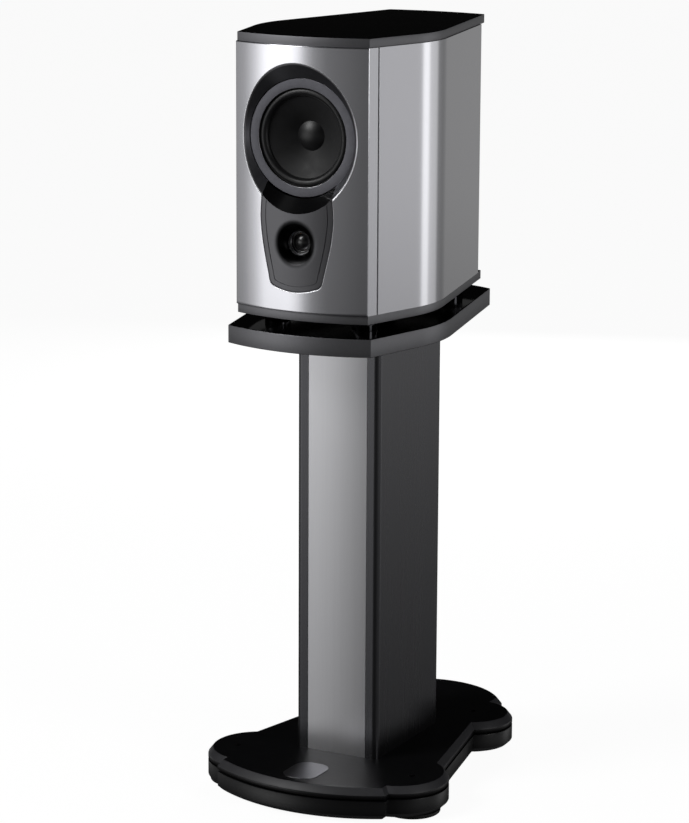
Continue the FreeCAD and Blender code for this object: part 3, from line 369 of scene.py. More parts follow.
def grained_finish(name, dark, light, size_mm, rough, depth_mm, stretch=(1, 1, 1), **shader):
    """A finish whose colour, roughness and relief follow one grain, size_mm across and drawn out along an
    axis by stretch: 0.6 of it fine, and 0.4 of it fourteen times as broad."""
    material, tree, place = new_finish(name)
    noises = []
    for size, detail in ((size_mm, 3.0), (size_mm * 14, 1.0)):
        laid = add(tree, "Mapping", Vector=place, Scale=[1000 / size / way for way in stretch])
        noises.append(add(tree, "TexNoise", Vector=laid.outputs["Vector"], Scale=1.0, Detail=detail))
    fine, broad = (noise.outputs["Fac"] for noise in noises)
    share = add(tree, "Math", {"operation": "MULTIPLY"}, i_0=fine, i_1=0.6)
    mixed = add(tree, "Math", {"operation": "MULTIPLY_ADD"}, i_0=broad, i_1=0.4, i_2=share.outputs[0])
    tone = add(tree, "MapRange", Value=mixed.outputs[0], From_Min=0.3, From_Max=0.7)
    colour = add(tree, "Mix", RGBA, i_0=tone.outputs[0], i_6=dark, i_7=light)
    shine = add(tree, "MapRange", Value=tone.outputs[0], To_Min=rough[0], To_Max=rough[1])
    if depth_mm:
        relief = add(tree, "Bump", Height=fine, Distance=depth_mm * MM, Strength=1.0)
        shader["Normal"] = relief.outputs["Normal"]
    surface = add(tree, "BsdfPrincipled", Base_Color=colour.outputs[2], Roughness=shine.outputs[0],
                  **shader)
    add(tree, "OutputMaterial", Surface=surface.outputs["BSDF"])
    return material


print("helpers ready; mid grey is", round(linear("#808080")[0], 3), "in linear light")

# %% [markdown]
# ### Lacquers
#
# The cabinet is fibreboard under metallic silver lacquer: aluminium flakes lie in a binder, each tilted a
# little, under a polished clear coat. Flakes are about 0.05 mm; they are drawn at 0.5 mm so that they
# show. The coat's own normal carries orange peel, the faint waviness that a spray gun leaves, about 9 mm
# long.

# %% Silver metallic lacquer
def silver_lacquer():
    material, tree, place = new_finish("silver_metallic_lacquer")
    flakes = add(tree, "TexVoronoi", Vector=place, Scale=1000 / 0.5)
    tone = add(tree, "SeparateColor", Color=flakes.outputs["Color"]).outputs[0]
    colour = add(tree, "Mix", RGBA, i_0=tone, i_6="#bcbcc1", i_7="#c6c6cb")
    shine = add(tree, "MapRange", Value=tone, To_Min=0.12, To_Max=0.16)
    tilt = add(tree, "Bump", Height=tone, Distance=0.002 * MM, Strength=0.06)
    waves = add(tree, "TexNoise", Vector=place, Scale=1000 / 9.0, Detail=0.0)
    peel = add(tree, "Bump", Height=waves.outputs["Fac"], Distance=0.01 * MM, Strength=0.5)
    surface = add(tree, "BsdfPrincipled", Base_Color=colour.outputs[2], Roughness=shine.outputs[0],
                  Metallic=0.88, Coat_Weight=1.0, Coat_Roughness=0.035, Coat_IOR=1.5,
                  Normal=tilt.outputs[0], Coat_Normal=peel.outputs[0])
    add(tree, "OutputMaterial", Surface=surface.outputs["BSDF"])
    return material


SILVER = silver_lacquer()
print("silver lacquer:", SILVER.name)

# %% [markdown]
# The black lacquers are dark pigment without flakes: polished on the cabinet's plates, and rubbed down to
# a satin on the base, so that it shows broad soft reflections. On the plates' sawn and sanded edges the
# lacquer is a metallic grey, and which of the two shows follows from whether a face lies flat or stands
# upright.

# %% Black lacquers
def black_lacquer(name, colour, gloss, coat):
    """Dark pigment with the faintest waviness, 30 mm long, and a few hairline rubbing marks."""
    material, tree, place = new_finish(name)
    cloud = add(tree, "TexNoise", Vector=place, Scale=1000 / 30.0, Detail=2.0).outputs["Fac"]
    laid = add(tree, "Mapping", Vector=place, Scale=(1000 / 0.8 / 60, 1000 / 0.8, 1000 / 0.8))
    hair = add(tree, "TexNoise", Vector=laid.outputs["Vector"], Scale=1.0, Detail=1.0).outputs["Fac"]
    pigment = add(tree, "Mix", RGBA, i_0=cloud, i_6=colour, i_7="#0c0c0e")
    shine = add(tree, "MapRange", Value=hair, From_Min=0.3, From_Max=0.7, To_Min=gloss, To_Max=gloss + 0.05)
    wave = add(tree, "Bump", Height=cloud, Distance=0.01 * MM, Strength=0.3)
    surface = add(tree, "BsdfPrincipled", Base_Color=pigment.outputs[2], Roughness=shine.outputs[0],
                  Specular_IOR_Level=0.45, Coat_Weight=coat, Coat_Roughness=0.03, Normal=wave.outputs[0])
    add(tree, "OutputMaterial", Surface=surface.outputs["BSDF"])
    return material


def plate_lacquer():
    """Gloss black on the flat faces, satin metallic grey on the upright edges."""
    material, tree, place = new_finish("black_lacquer_with_satin_edges")
    facing = add(tree, "SeparateXYZ", Vector=add(tree, "NewGeometry").outputs["Normal"]).outputs["Z"]
    level = add(tree, "Math", {"operation": "ABSOLUTE"}, i_0=facing)
    flat = add(tree, "MapRange", Value=level.outputs[0], From_Min=0.55, From_Max=0.75).outputs[0]
    laid = add(tree, "Mapping", Vector=place, Scale=(1000 / 0.6, 1000 / 0.6, 1000 / 0.6 / 14))
    sanded = add(tree, "TexNoise", Vector=laid.outputs["Vector"], Scale=1.0, Detail=3.0).outputs["Fac"]
    edge = add(tree, "Mix", RGBA, i_0=sanded, i_6="#7b7b7e", i_7="#88888c")
    colour = add(tree, "Mix", RGBA, i_0=flat, i_6=edge.outputs[2], i_7="#060607")
    shine = add(tree, "MapRange", Value=flat, To_Min=0.42, To_Max=0.07)
    metal = add(tree, "MapRange", Value=flat, To_Min=0.75, To_Max=0.0)
    scratch = add(tree, "Bump", Height=sanded, Distance=0.01 * MM, Strength=0.3)
    surface = add(tree, "BsdfPrincipled", Base_Color=colour.outputs[2], Roughness=shine.outputs[0],
                  Metallic=metal.outputs[0], Normal=scratch.outputs[0])
    add(tree, "OutputMaterial", Surface=surface.outputs["BSDF"])
    return material


HORN_BLACK = black_lacquer("waveguide_recess_lacquer", "#09090a", 0.2, 0.6)
BASE_BLACK = black_lacquer("base_lacquer", "#151517", 0.34, 0.0)
PLATE_BLACK = plate_lacquer()
print("black lacquers:", HORN_BLACK.name, BASE_BLACK.name, PLATE_BLACK.name)

# %% [markdown]
# ### Metals and other painted finishes
#
# Each row gives the name, the darker and lighter colour, the grain's size in mm, the roughness, the
# relief's depth in mm and the stretch. Anodised extrusions show faint lines along the length they were
# drawn, and a brushed plate along its brushing; the real lines are about 0.1 mm wide, and are drawn wider
# so that they show. Cast, turned, sintered and plated metals each have their own size of grain.

# %% Metal finishes
# the woofer's recess: the baffle's metallic lacquer without its clear coat, painted a darker grey as painted
# shade inside the recess
RECESS_PAINTED_SHADE = grained_finish("recess_painted_shade_lacquer", "#85858b", "#8f8f95", 0.6, (0.3, 0.36), 0.002,
                              Metallic=0.9)
# the rear panel's black is sprayed satin, with no polishing
REAR_BLACK = grained_finish("rear_satin_lacquer", "#101012", "#17171a", 1.2, (0.3, 0.42), 0.01)
# painted highlight: a light metallic grey laid along rounded edges and rims, a light line wherever two faces
# meet
PAINTED_HIGHLIGHT = grained_finish("painted_highlight_edge", "#d0d0d4", "#e0e0e4", 0.4, (0.3, 0.4), 0.002, Metallic=1.0)
# the base's bevels are rubbed down; their flat grey is painted sheen, a broad grey highlight in the colour
BASE_BEVEL_PAINTED_SHEEN = grained_finish("base_bevel_painted_sheen", "#454548", "#4c4c4f", 0.8, (0.42, 0.5), 0.004)
# anodised aluminium keeps the metal's shine under its dye, softened by etching
COLUMN_BLACK = grained_finish("black_anodised_tube", "#565659", "#58585b", 3.0, (0.27, 0.275), 0.0,
                              (1, 1, 40), Metallic=0.9)
COLUMN_SILVER = grained_finish("silver_brushed_panel", "#cfcfd2", "#d5d5d8", 0.5, (0.31, 0.33), 0.0,
                               (1, 1, 160), Metallic=0.8)
BADGE = grained_finish("brushed_badge", "#8e8e92", "#9a9a9e", 0.4, (0.34, 0.38), 0.0, (90, 1, 1),
                       Metallic=1.0)
# chrome over dark nickel: a near-mirror that stays dark
STANDOFF = grained_finish("smoked_chrome", "#3a3a3d", "#4a4a4d", 2.0, (0.08, 0.16), 0.0, Metallic=1.0)
# metal flake enamel, speckled at about a millimetre
TRIM = grained_finish("speckled_trim_ring", "#5a5a5f", "#717177", 1.1, (0.36, 0.46), 0.01, Metallic=0.85)
# zinc plate and blackened steel: small screws and the levelling studs
ZINC = grained_finish("zinc_plate", "#8d9093", "#b9bcc0", 2.5, (0.25, 0.4), 0.01, Metallic=1.0)
BLACK_STEEL = grained_finish("blackened_steel", "#18181a", "#2a2a2d", 0.8, (0.3, 0.45), 0.01, Metallic=0.9)
# powder coat and cast enamel are matt, with a skin like fine orange peel
FOOT_BLACK = grained_finish("foot_powder_coat", "#0d0d0e", "#19191b", 0.5, (0.4, 0.55), 0.05)
CAST_ALLOY = grained_finish("cast_basket_enamel", "#2c2c2e", "#3b3b3e", 0.9, (0.5, 0.65), 0.06, Metallic=0.4)
# turned steel and the sintered magnet between its plates
MOTOR_STEEL = grained_finish("turned_motor_steel", "#6d6f72", "#8c8e92", 0.4, (0.3, 0.42), 0.01,
                             Metallic=1.0)
FERRITE = grained_finish("sintered_ferrite", "#1d1d1f", "#2b2b2d", 0.6, (0.6, 0.75), 0.05)
# enamelled wire wound in layers: fine ridges one wire thick
COPPER = grained_finish("enamelled_copper", "#8e4322", "#b8683a", 0.35, (0.28, 0.4), 0.04, (12, 12, 1),
                        Metallic=1.0)
TERMINAL_METAL = grained_finish("terminal_plate_anodised", "#2f2f32", "#3f3f43", 0.4, (0.3, 0.42), 0.006,
                                (80, 1, 1), Metallic=0.9)
# gold plate over turned brass: smooth, warm and bright
GOLD = grained_finish("gold_plated_brass", "#b98d36", "#dfb65c", 1.5, (0.12, 0.24), 0.004, Metallic=1.0)
print("metals ready:", len(bpy.data.materials), "finishes so far")

# %% [markdown]
# ### Rubber, paper, cloth and plastic
#
# The surround is butyl rubber with a faint moulded skin. The cone is felted paper with a dark coating, so
# short fibres show. The feet and port are moulded with a fine spark-eroded grain, the knobs with a smooth
# one.

# %% Soft and moulded finishes
RUBBER = grained_finish("butyl_rubber", "#131314", "#1d1d1f", 0.8, (0.36, 0.48), 0.02, Sheen_Weight=0.15,
                        Sheen_Roughness=0.4)
PAPER = grained_finish("coated_paper_cone", "#121213", "#1e1e20", 0.9, (0.5, 0.64), 0.05, Sheen_Weight=0.1,
                       Sheen_Roughness=0.5)
CAP = grained_finish("pressed_dust_cap", "#111112", "#19191b", 0.7, (0.34, 0.42), 0.02)
FOAM = grained_finish("gasket_foam", "#0e0e0f", "#1a1a1b", 0.6, (0.8, 0.9), 0.1)
SPIDER = grained_finish("spider_cloth", "#7b6237", "#a58a55", 0.7, (0.75, 0.85), 0.08)
FELT = grained_finish("wool_felt", "#55524d", "#6f6c66", 1.6, (0.9, 0.95), 0.4, Sheen_Weight=0.3)
MOULDED = grained_finish("moulded_port_plastic", "#0d0d0e", "#161617", 0.45, (0.42, 0.55), 0.04)
KNOB_RED = grained_finish("red_knob_plastic", "#7d0a0c", "#930f12", 1.2, (0.14, 0.22), 0.01, Coat_Weight=0.4)
KNOB_BLACK = grained_finish("black_knob_plastic", "#0c0c0d", "#141416", 1.2, (0.14, 0.22), 0.01,
                            Coat_Weight=0.4)
BOARD = grained_finish("raw_fibreboard", "#8f7350", "#a98b63", 0.8, (0.75, 0.88), 0.05)
CIRCUIT = grained_finish("solder_mask_board", "#0c3a1c", "#125027", 1.5, (0.25, 0.35), 0.02)
CAPACITOR = grained_finish("film_capacitor_wrap", "#9b7d1a", "#c3a12f", 2.0, (0.3, 0.4), 0.01)
WIRE = grained_finish("wire_insulation", "#6d0d10", "#861318", 1.5, (0.4, 0.5), 0.01)
print("soft and moulded finishes ready:", len(bpy.data.materials), "so far")

# %% [markdown]
# The dome is silk, woven at about 0.15 mm and coated. Two crossed sets of waves make the weave, drawn at
# 0.4 mm so that it shows, and the coating leaves it half shiny. The waveguide is aluminium, bead-blasted
# and anodised graphite; inside its horn the colour is painted near black as painted shade, and where one
# turns into the other follows the distance from the tweeter's axis.

# %% Silk and graphite
def dome_silk():
    material, tree, place = new_finish("coated_silk_dome")
    threads = [add(tree, "TexWave", {"bands_direction": way}, Vector=place, Scale=1000 / 0.4 / 20,
                   Distortion=0.5).outputs["Fac"] for way in ("X", "Z")]
    weave = add(tree, "Math", {"operation": "MULTIPLY"}, i_0=threads[0], i_1=threads[1]).outputs[0]
    colour = add(tree, "Mix", RGBA, i_0=weave, i_6="#0b0b0c", i_7="#161618")
    shine = add(tree, "MapRange", Value=weave, To_Min=0.34, To_Max=0.26)
    relief = add(tree, "Bump", Height=weave, Distance=0.02 * MM, Strength=0.4)
    surface = add(tree, "BsdfPrincipled", Base_Color=colour.outputs[2], Roughness=shine.outputs[0],
                  Sheen_Weight=0.1, Coat_Weight=0.5, Coat_Roughness=0.18, Normal=relief.outputs[0])
    add(tree, "OutputMaterial", Surface=surface.outputs["BSDF"])
    return material


# the horn's painted shade: near black inside the first radius, fading to graphite by the second
HORN_SHADE_RADII = (30.0, 38.5)                            # mm: black inside the first, graphite past the second


def graphite_and_horn_shade():
    material, tree, place = new_finish("graphite_waveguide_horn_shade")
    moved = add(tree, "Mapping", Vector=place, Location=(0.0, 0.0, -tweeter_z * MM), Scale=(1.0, 0.0, 1.0))
    far = add(tree, "VectorMath", {"operation": "LENGTH"}, i_0=moved.outputs["Vector"]).outputs["Value"]
    inside = add(tree, "MapRange", Value=far, From_Min=HORN_SHADE_RADII[0] * MM, From_Max=HORN_SHADE_RADII[1] * MM,
                 To_Min=1.0, To_Max=0.0).outputs[0]
    blasted = add(tree, "TexNoise", Vector=place, Scale=1000 / 0.5, Detail=3.0).outputs["Fac"]
    plate = add(tree, "Mix", RGBA, i_0=blasted, i_6="#6a6a6d", i_7="#79797c")
    # painted shade: the horn's inside is painted near black, fading into the plate's graphite
    colour = add(tree, "Mix", RGBA, i_0=inside, i_6=plate.outputs[2], i_7="#040405")
    shine = add(tree, "MapRange", Value=inside, To_Min=0.42, To_Max=0.3)
    relief = add(tree, "Bump", Height=blasted, Distance=0.015 * MM, Strength=0.5)
    surface = add(tree, "BsdfPrincipled", Base_Color=colour.outputs[2], Roughness=shine.outputs[0],
                  Metallic=0.85, Normal=relief.outputs[0])
    add(tree, "OutputMaterial", Surface=surface.outputs["BSDF"])
    return material


SILK = dome_silk()
GRAPHITE_WITH_HORN_SHADE = graphite_and_horn_shade()
print("finishes:", len(bpy.data.materials))

# %% [markdown]
# ## Cabinet boards
#
# The two cover plates and the stand's top plate are sawn to the outline and their edges are eased by
# hand. They are stacks of the same outline: nearly all the shape is in the outline, and the eased edge is
# a quarter circle.

# %% Cover plates and the stand's top plate
for name, shape, eased in (("top_cover", COVER, 0.8), ("bottom_cover", COVER, 0.8),
                           ("stand_top", STAND_TOP, 1.0)):
    low, high = box_mm(f"{name}_plate")
    rings = stack(shape.outline, edge_profile(low[2], high[2], eased))
    make_piece(name, [skin(rings, lids=True)], PLATE_BLACK, slot="black_lacquer",
               stands_for=[f"{name}_plate"])

# %% [markdown]
# A side panel is one bent board: its plan is a thin curved strip, the outer line with the same line 18 mm
# further in. Its front edge is rounded, because that edge forms one side of the shadow groove and shows
# as a fine bright line.

# %% Side panels
WALL = 18.0                                          # thickness of a side panel
EDGE = 1.0                                           # eased edge of the side panels


def upright(plan, low, high):
    """Rings of a plan carried straight up, with a ring 1 mm from each end to keep the flats flat."""
    return [np.column_stack([plan, np.full(len(plan), z)]) for z in (low, low + 1, high - 1, high)]


def side_panel(name, node, sign):
    """One panel, on the right for sign 1 and mirrored for sign -1."""
    low, high = box_mm(node)
    front = low[1]
    outer = CABINET.side(0.0, front + EDGE, cabinet_back - EDGE)
    inner = CABINET.side(WALL, front, cabinet_back)[::-1]
    nose = np.array([inner[-1], [CABINET.side_x(front, 0.0), front], outer[0]])
    tail = np.array([outer[-1], [CABINET.side_x(cabinet_back, 0.0), cabinet_back], inner[0]])
    eased = [rounded(part, [0, EDGE, 0], 6, closed=False) for part in (nose, tail)]
    plan = np.vstack([outer[1:-1], eased[1][5:13], inner, eased[0][5:13]]) * [sign, 1]
    return make_piece(name, [skin(upright(plan, low[2], high[2]), lids=True)], SILVER, slot="silver_lacquer",
                      stands_for=[node])


side_panel("side_panel_right", "right_side_panel", 1)
side_panel("side_panel_left", "left_side_panel", -1)

# %% [markdown]
# ## The baffle
#
# The baffle is a board bowed across its width. A conical recess is turned round the woofer, and a
# shield-shaped pocket below takes the tweeter's plate. Seen from the woofer's axis, every line of it is
# met once by each ray: the opening, the crest where cone and bow meet, and the rectangle outside. So the
# surface is worked out along rays at all angles round that axis, which puts mesh edges exactly on each of
# those lines.

# %% The shield outline, as seen from the front
def through(points, steps=24):
    """A smooth line through all the points: Catmull-Rom cubics, their ends guided by repeated end points."""
    p = np.asarray(points, float)
    p = np.vstack([2 * p[0] - p[1], p, 2 * p[-1] - p[-2]])
    t = np.linspace(0, 1, steps, endpoint=False)[:, None, None]
    a, b, c, d = p[:-3], p[1:-2], p[2:-1], p[3:]
    curve = 0.5 * (2 * b + (c - a) * t + (2 * a - 5 * b + 4 * c - d) * t ** 2
                   + (3 * b - a - 3 * c + d) * t ** 3)
    return np.vstack([curve.transpose(1, 0, 2).reshape(-1, 2), p[-2:-1]])


SHIELD_SIDE = [(46.2, -50.5), (52.2, -25.5), (56.5, -5.5), (59.2, 10.5), (61.3, 28.0), (61.9, 42.5),
               (60.2, 68.0), (57.5, 95.0)]
SOLE_BOW, SOLE_HALF, SOLE_LOW, HEEL_CORNER = 6.0, 34.0, -67.0, (44.8, -64.8)


def shield(grow=0.0):
    """Closed outline round the tweeter's axis, from the middle of the sole, anticlockwise."""
    sole_radius = (SOLE_HALF ** 2 + SOLE_BOW ** 2) / (2 * SOLE_BOW)
    sole_centre = (0.0, SOLE_LOW - SOLE_BOW + sole_radius)
    sole = arc(sole_centre, sole_radius, -90, bearing((SOLE_HALF, SOLE_LOW), sole_centre), 30)
    t = np.linspace(0, 1, 16)[1:-1, None]
    heel = ((1 - t) ** 2 * sole[-1] + 2 * t * (1 - t) * np.array(HEEL_CORNER)
            + t ** 2 * np.array(SHIELD_SIDE[0]))
    right = np.vstack([sole, heel, through(SHIELD_SIDE)])
    closed = mirror_closed(np.vstack([right, [[0.0, SHIELD_SIDE[-1][1]]]]))
    along = np.roll(closed, -1, 0) - np.roll(closed, 1, 0)
    outward = np.column_stack([along[:, 1], -along[:, 0]]) / np.linalg.norm(along, axis=1)[:, None]
    return closed + outward * grow


def along_rays(points, angle, centre_z=0.0):
    """Distance from (0, centre_z) to a closed outline, for rays at an angle from straight down."""
    across, up = points[:, 0], points[:, 1] - centre_z
    bearing_of = np.arctan2(across, -up)
    order = np.argsort(bearing_of)
    turned, far = bearing_of[order], np.hypot(across, up)[order]
    return np.interp(angle, np.r_[turned[-1] - 2 * np.pi, turned, turned[0] + 2 * np.pi],
                     np.r_[far[-1], far, far[0]])


print("the shield is", round(np.ptp(shield()[:, 0]), 1), "mm wide")

# %% The bow and the cone
BOW_RADIUS = CABINET.front_radius
BOW_FRONT = corner_y - (CABINET.front_centre - BOW_RADIUS)      # foremost depth, forward of the corner plane
RING_SEAT = 90.0                                                # radius of the woofer's opening
SLOPE = 1.1                                                     # the cone's widening per mm forward
CONE_LOW = 3.0                                                  # depth of the cone's small end
CABINET_HALF, FLARE = 113.5, math.radians(15.3)


def bow(x):
    """Depth of the bowed face at x: a circle's arc, R - sqrt(R^2 - x^2) behind its foremost line."""
    return BOW_FRONT - (BOW_RADIUS - np.sqrt(BOW_RADIUS ** 2 - x ** 2))


def cone(distance):
    """Depth of the recess at a distance from the woofer's axis."""
    return CONE_LOW + (distance - RING_SEAT) / SLOPE


def pocket_reach(angle):
    """Distance along each ray to the far side of the pocket, or the opening's radius where there is none."""
    pocket = shield(0.3)
    pocket = pocket[pocket[:, 1] < SHIELD_SIDE[-1][1] - 1]
    return np.maximum(RING_SEAT, along_rays(pocket, angle, woofer_z - tweeter_z))


def crest(angle):
    """Distance along each ray at which cone and bow are equally deep, by repeated substitution."""
    far = np.full_like(angle, RING_SEAT + 15)
    for _ in range(30):
        far = RING_SEAT + SLOPE * (bow(far * np.sin(angle)) - CONE_LOW)
    return far


def to_rectangle(angle, half, low, high):
    """Distance along each ray to a rectangle |x| < half, low < z < high, round the axis."""
    sine, cosine = np.sin(angle), -np.cos(angle)
    across = half / np.maximum(np.abs(sine), 1e-9)
    up = np.where(cosine > 0, high, -low) / np.maximum(np.abs(cosine), 1e-9)
    return np.minimum(across, up)


print("the bow stands", round(BOW_FRONT, 2), "mm forward of the front corners")

# %% The baffle's rings
ROUND = 1.7                                          # width of the rounded crest
SIDE_ROUND = 1.2                                     # radius of the side's rear edge
GROOVE = 4.0                                         # how far the groove goes in behind the side
CORNER_DEPTH = 3.0                                   # depth at which the baffle is CABINET_HALF wide
baffle_low, baffle_high = box_mm("front_baffle")
BAFFLE_BACK = corner_y - baffle_high[1]              # depth of its rear face (negative, behind the plane)
BAFFLE_EDGE_BACK = -17.0                             # depth at which its sides end and the groove begins


def baffle_rings():
    """Rings from the opening's inner wall forward over the crest, across the bow and round to the rear."""
    low, high = baffle_low[2] - woofer_z, baffle_high[2] - woofer_z
    corners = [math.atan2(x, -z) for x in (-CABINET_HALF, CABINET_HALF) for z in (low, high)]
    fine = np.radians(np.linspace(-42, 42, 420))
    angle = np.unique(np.round(np.r_[np.linspace(-math.pi, math.pi, 480, endpoint=False), fine, corners], 9))
    inner = pocket_reach(angle)
    edge = np.maximum(crest(angle), inner + 0.01)
    sine, cosine = np.sin(angle), -np.cos(angle)

    def ring(far, depth, widen=0.0):
        x = far * sine
        return np.stack([x * (1 + widen), corner_y - depth, woofer_z + far * cosine], -1)

    crest_depth = bow(edge * sine)
    foot = np.minimum(cone(inner), crest_depth - ROUND / SLOPE)
    near, near_depth = np.maximum(edge - ROUND, inner), crest_depth - ROUND / SLOPE
    rings = [ring(inner, np.full_like(inner, BAFFLE_BACK)), ring(inner, foot - 0.3), ring(inner, foot)]
    for t in (0.04, 0.96, 1.0):
        rings.append(ring(inner + (near - inner) * t, foot + (near_depth - foot) * t))
    over = edge + ROUND
    for t in (0.2, 0.4, 0.6, 0.8):
        far = (1 - t) ** 2 * near + 2 * t * (1 - t) * edge + t * t * over
        depth = (1 - t) ** 2 * near_depth + 2 * t * (1 - t) * crest_depth + t * t * bow(over * sine)
        rings.append(ring(far, depth))
    outer = to_rectangle(angle, CABINET_HALF, low, high)
    shrunk = to_rectangle(angle, CABINET_HALF - 1, low + 1, high - 1)
    for t in np.r_[0.0, 0.015, np.linspace(0.05, 1.0, 34)]:
        far = over + (shrunk - over) * t
        rings.append(ring(far, bow(far * sine)))
    front_depth = bow(outer * sine)
    for t in (0.25, 0.5, 0.75):
        far = shrunk + (outer - shrunk) * (1 - (1 - t) ** 2)
        rings.append(ring(far, bow(far * sine) - t * t * 1.0))

    def flared(depth):
        """Side edge at a depth: the half width grows backwards with the flare's slope."""
        growth = np.maximum(CORNER_DEPTH - depth, 0.0) * math.tan(FLARE) / CABINET_HALF
        return ring(outer, depth, growth)

    for t in (0.0, 0.02, 0.25, 0.5, 0.75, 0.97, 1.0):
        rings.append(flared((front_depth - 1.0) * (1 - t) + (BAFFLE_EDGE_BACK + SIDE_ROUND) * t))
    back_growth = (CORNER_DEPTH - BAFFLE_EDGE_BACK) * math.tan(FLARE) / CABINET_HALF
    for turned in np.radians((25, 50, 75, 90)):
        depth = BAFFLE_EDGE_BACK + SIDE_ROUND * (1 - math.sin(turned))
        rings.append(ring(outer, np.full_like(outer, depth),
                          back_growth - SIDE_ROUND * (1 - math.cos(turned)) / CABINET_HALF))
    groove = back_growth - GROOVE / CABINET_HALF
    rings.append(ring(outer, np.full_like(outer, BAFFLE_EDGE_BACK), groove))
    rings.append(ring(outer, np.full_like(outer, BAFFLE_BACK), groove))
    rings.append(ring(inner + 2, np.full_like(inner, BAFFLE_BACK)))
    return np.array(rings)


def radius_from_woofer(points):
    """Distance of each point from the woofer's axis."""
    return np.hypot(points[:, 0], points[:, 2] - woofer_z)


baffle = make_piece("baffle", [skin(baffle_rings(), loop=True)], [SILVER, RECESS_PAINTED_SHADE, PAINTED_HIGHLIGHT],
                    slot="silver_lacquer", stands_for=["front_baffle"], sharp=28)

# %% Which of the baffle's faces are recess, crest and side edge
def in_recess(c, n):
    """Faces below the crest, which take the recess's painted shade: nearer the woofer than where cone and
    bow meet.
    """
    angle = np.arctan2(c[:, 0], woofer_z - c[:, 2])
    depth = corner_y - c[:, 1]
    return (depth < bow(np.clip(c[:, 0], -118, 118)) - 0.9) & (radius_from_woofer(c) < crest(angle) + 0.5)


def on_crest(c, n):
    """The narrow rounded band along the crest and the pocket's edge, which is painted as a highlight."""
    angle = np.arctan2(c[:, 0], woofer_z - c[:, 2])
    edge = np.maximum(crest(angle), pocket_reach(angle))
    far = radius_from_woofer(c)
    return (far > edge - ROUND * 0.95) & (far < edge + ROUND * 0.95) & (corner_y - c[:, 1] > 3)


# the recess's faces take the darker grey: painted shade where the cone is cut into the bowed baffle
paint_faces(baffle, in_recess, 1)
# the crest and the pocket's rim take the painted highlight, a light line along the rounded edge
paint_faces(baffle, on_crest, 2)
# the side's rear edge beside the groove also takes the painted highlight
paint_faces(baffle, lambda c, n: (np.abs(n[:, 0]) > 0.2) & (np.abs(c[:, 1] - corner_y - 16.4) < 0.75), 2)

# %% [markdown]
# ## Woofer
#
# All of the woofer is turned about one axis. The trim ring sits proud of the baffle's seat; inside it the
# rubber surround rolls forward in a half round of 6.5 mm radius, so the cone can travel 6 mm either way,
# and the cone falls back to the dust cap over the voice coil. The cone is a curve, not a straight line,
# because a slightly curved wall is stiffer.

# %% Trim ring, cone and dust cap
def ring_piece(name, profile, node, origin, material, axis="front", around=256, **more):
    """A closed profile turned round an axis: a solid ring with a hole in the middle."""
    return make_piece(name, [skin(turn(profile, axis, origin, around), loop=True)], material,
                      stands_for=[node], **more)


WOOFER, TWEETER = (0, corner_y, woofer_z), (0, corner_y, tweeter_z)
ring_profile = rounded([(75.0, -0.5), (89.5, -0.5), (89.5, 1.2), (75.0, 1.2)], [0.1, 0.1, 0.55, 0.55], 6)
trim_ring = ring_piece("woofer_ring", ring_profile, "woofer_trim_ring", WOOFER, [TRIM, PAINTED_HIGHLIGHT],
                       slot="trim_speckle")
# the trim ring's rounded edges take the painted highlight, a light line round its rims
paint_faces(trim_ring, lambda c, n: (n[:, 1] > -0.96) & (c[:, 1] < corner_y - 0.6), 1)


def curved(start, end, sag, steps=30):
    """A line from start to end that sags sideways by a half sine wave, by sag in the middle."""
    t = np.linspace(0, 1, steps)[:, None]
    line = np.asarray(start) * (1 - t) + np.asarray(end) * t
    along = np.subtract(end, start)
    side = np.array([-along[1], along[0]]) / np.hypot(*along)
    return line + side * sag * np.sin(math.pi * t)


cone_front = curved((19.0, -30.0), (62.0, -7.5), 1.2)
cone_rear = curved((62.0, -8.5), (21.0, -31.0), -1.2)
ring_piece("woofer_cone_paper", np.vstack([[(19.0, -31.0)], cone_front, cone_rear]), "woofer_cone", WOOFER,
           PAPER, body="woofer_moving_unit", slot="cone_paper")


def cap_arc(rim, rim_depth, top_depth, steps):
    """Circle arc in (radius, depth) from the rim to the axis, by its rim radius and its rise."""
    rise = top_depth - rim_depth
    radius = (rim ** 2 + rise ** 2) / (2 * rise)
    top = math.degrees(math.asin(rim / radius))
    return arc((0.0, top_depth - radius), radius, 90 - top, 90, steps)


def shell(name, rim, front, back, steps, node, origin, material, around=192, **more):
    """A thin dome closed at the rim: a front arc to the axis and a back arc, 0.6 mm smaller, from it."""
    profile = np.vstack([cap_arc(rim, *front, steps), cap_arc(rim - 0.6, *back, steps)[::-1]])
    return make_piece(name, [skin(turn(profile, "front", origin, around), loop=True)], material,
                      stands_for=[node], **more)


shell("woofer_cap", 22.7, (-27.7, -22.0), (-28.7, -23.0), 30, "woofer_dust_cap", WOOFER, CAP,
      body="woofer_moving_unit", slot="cone_paper")

# %% [markdown]
# The surround is one rubber moulding: a flat inner lip glued to the cone, the half roll, and a flat outer
# lip clamped under the trim ring. When the cone moves, the inner lip goes with it and the outer lip
# stays, so each point's share of the movement falls from one to nothing across the roll.

# %% Woofer surround
ROLL, ROLL_MIDDLE = 6.5, (69.0, -7.4)                # radius of the roll, and where its centre lies


def surround_profile():
    """Outer face from the inner lip over the roll to the outer lip, then the same line 1 mm further back."""
    over = arc(ROLL_MIDDLE, ROLL, 170, 30, 40)
    front = np.vstack([[(62.3, -7.5)], over, [(75.2, -2.9), (76.2, -1.8), (78.5, -1.8)]])
    under = arc(ROLL_MIDDLE, ROLL - 1.0, 30, 172, 36)
    back = np.vstack([[(78.5, -2.8), (76.0, -2.8), (74.6, -3.6)], under, [(62.3, -8.5)]])
    return np.vstack([front, back])


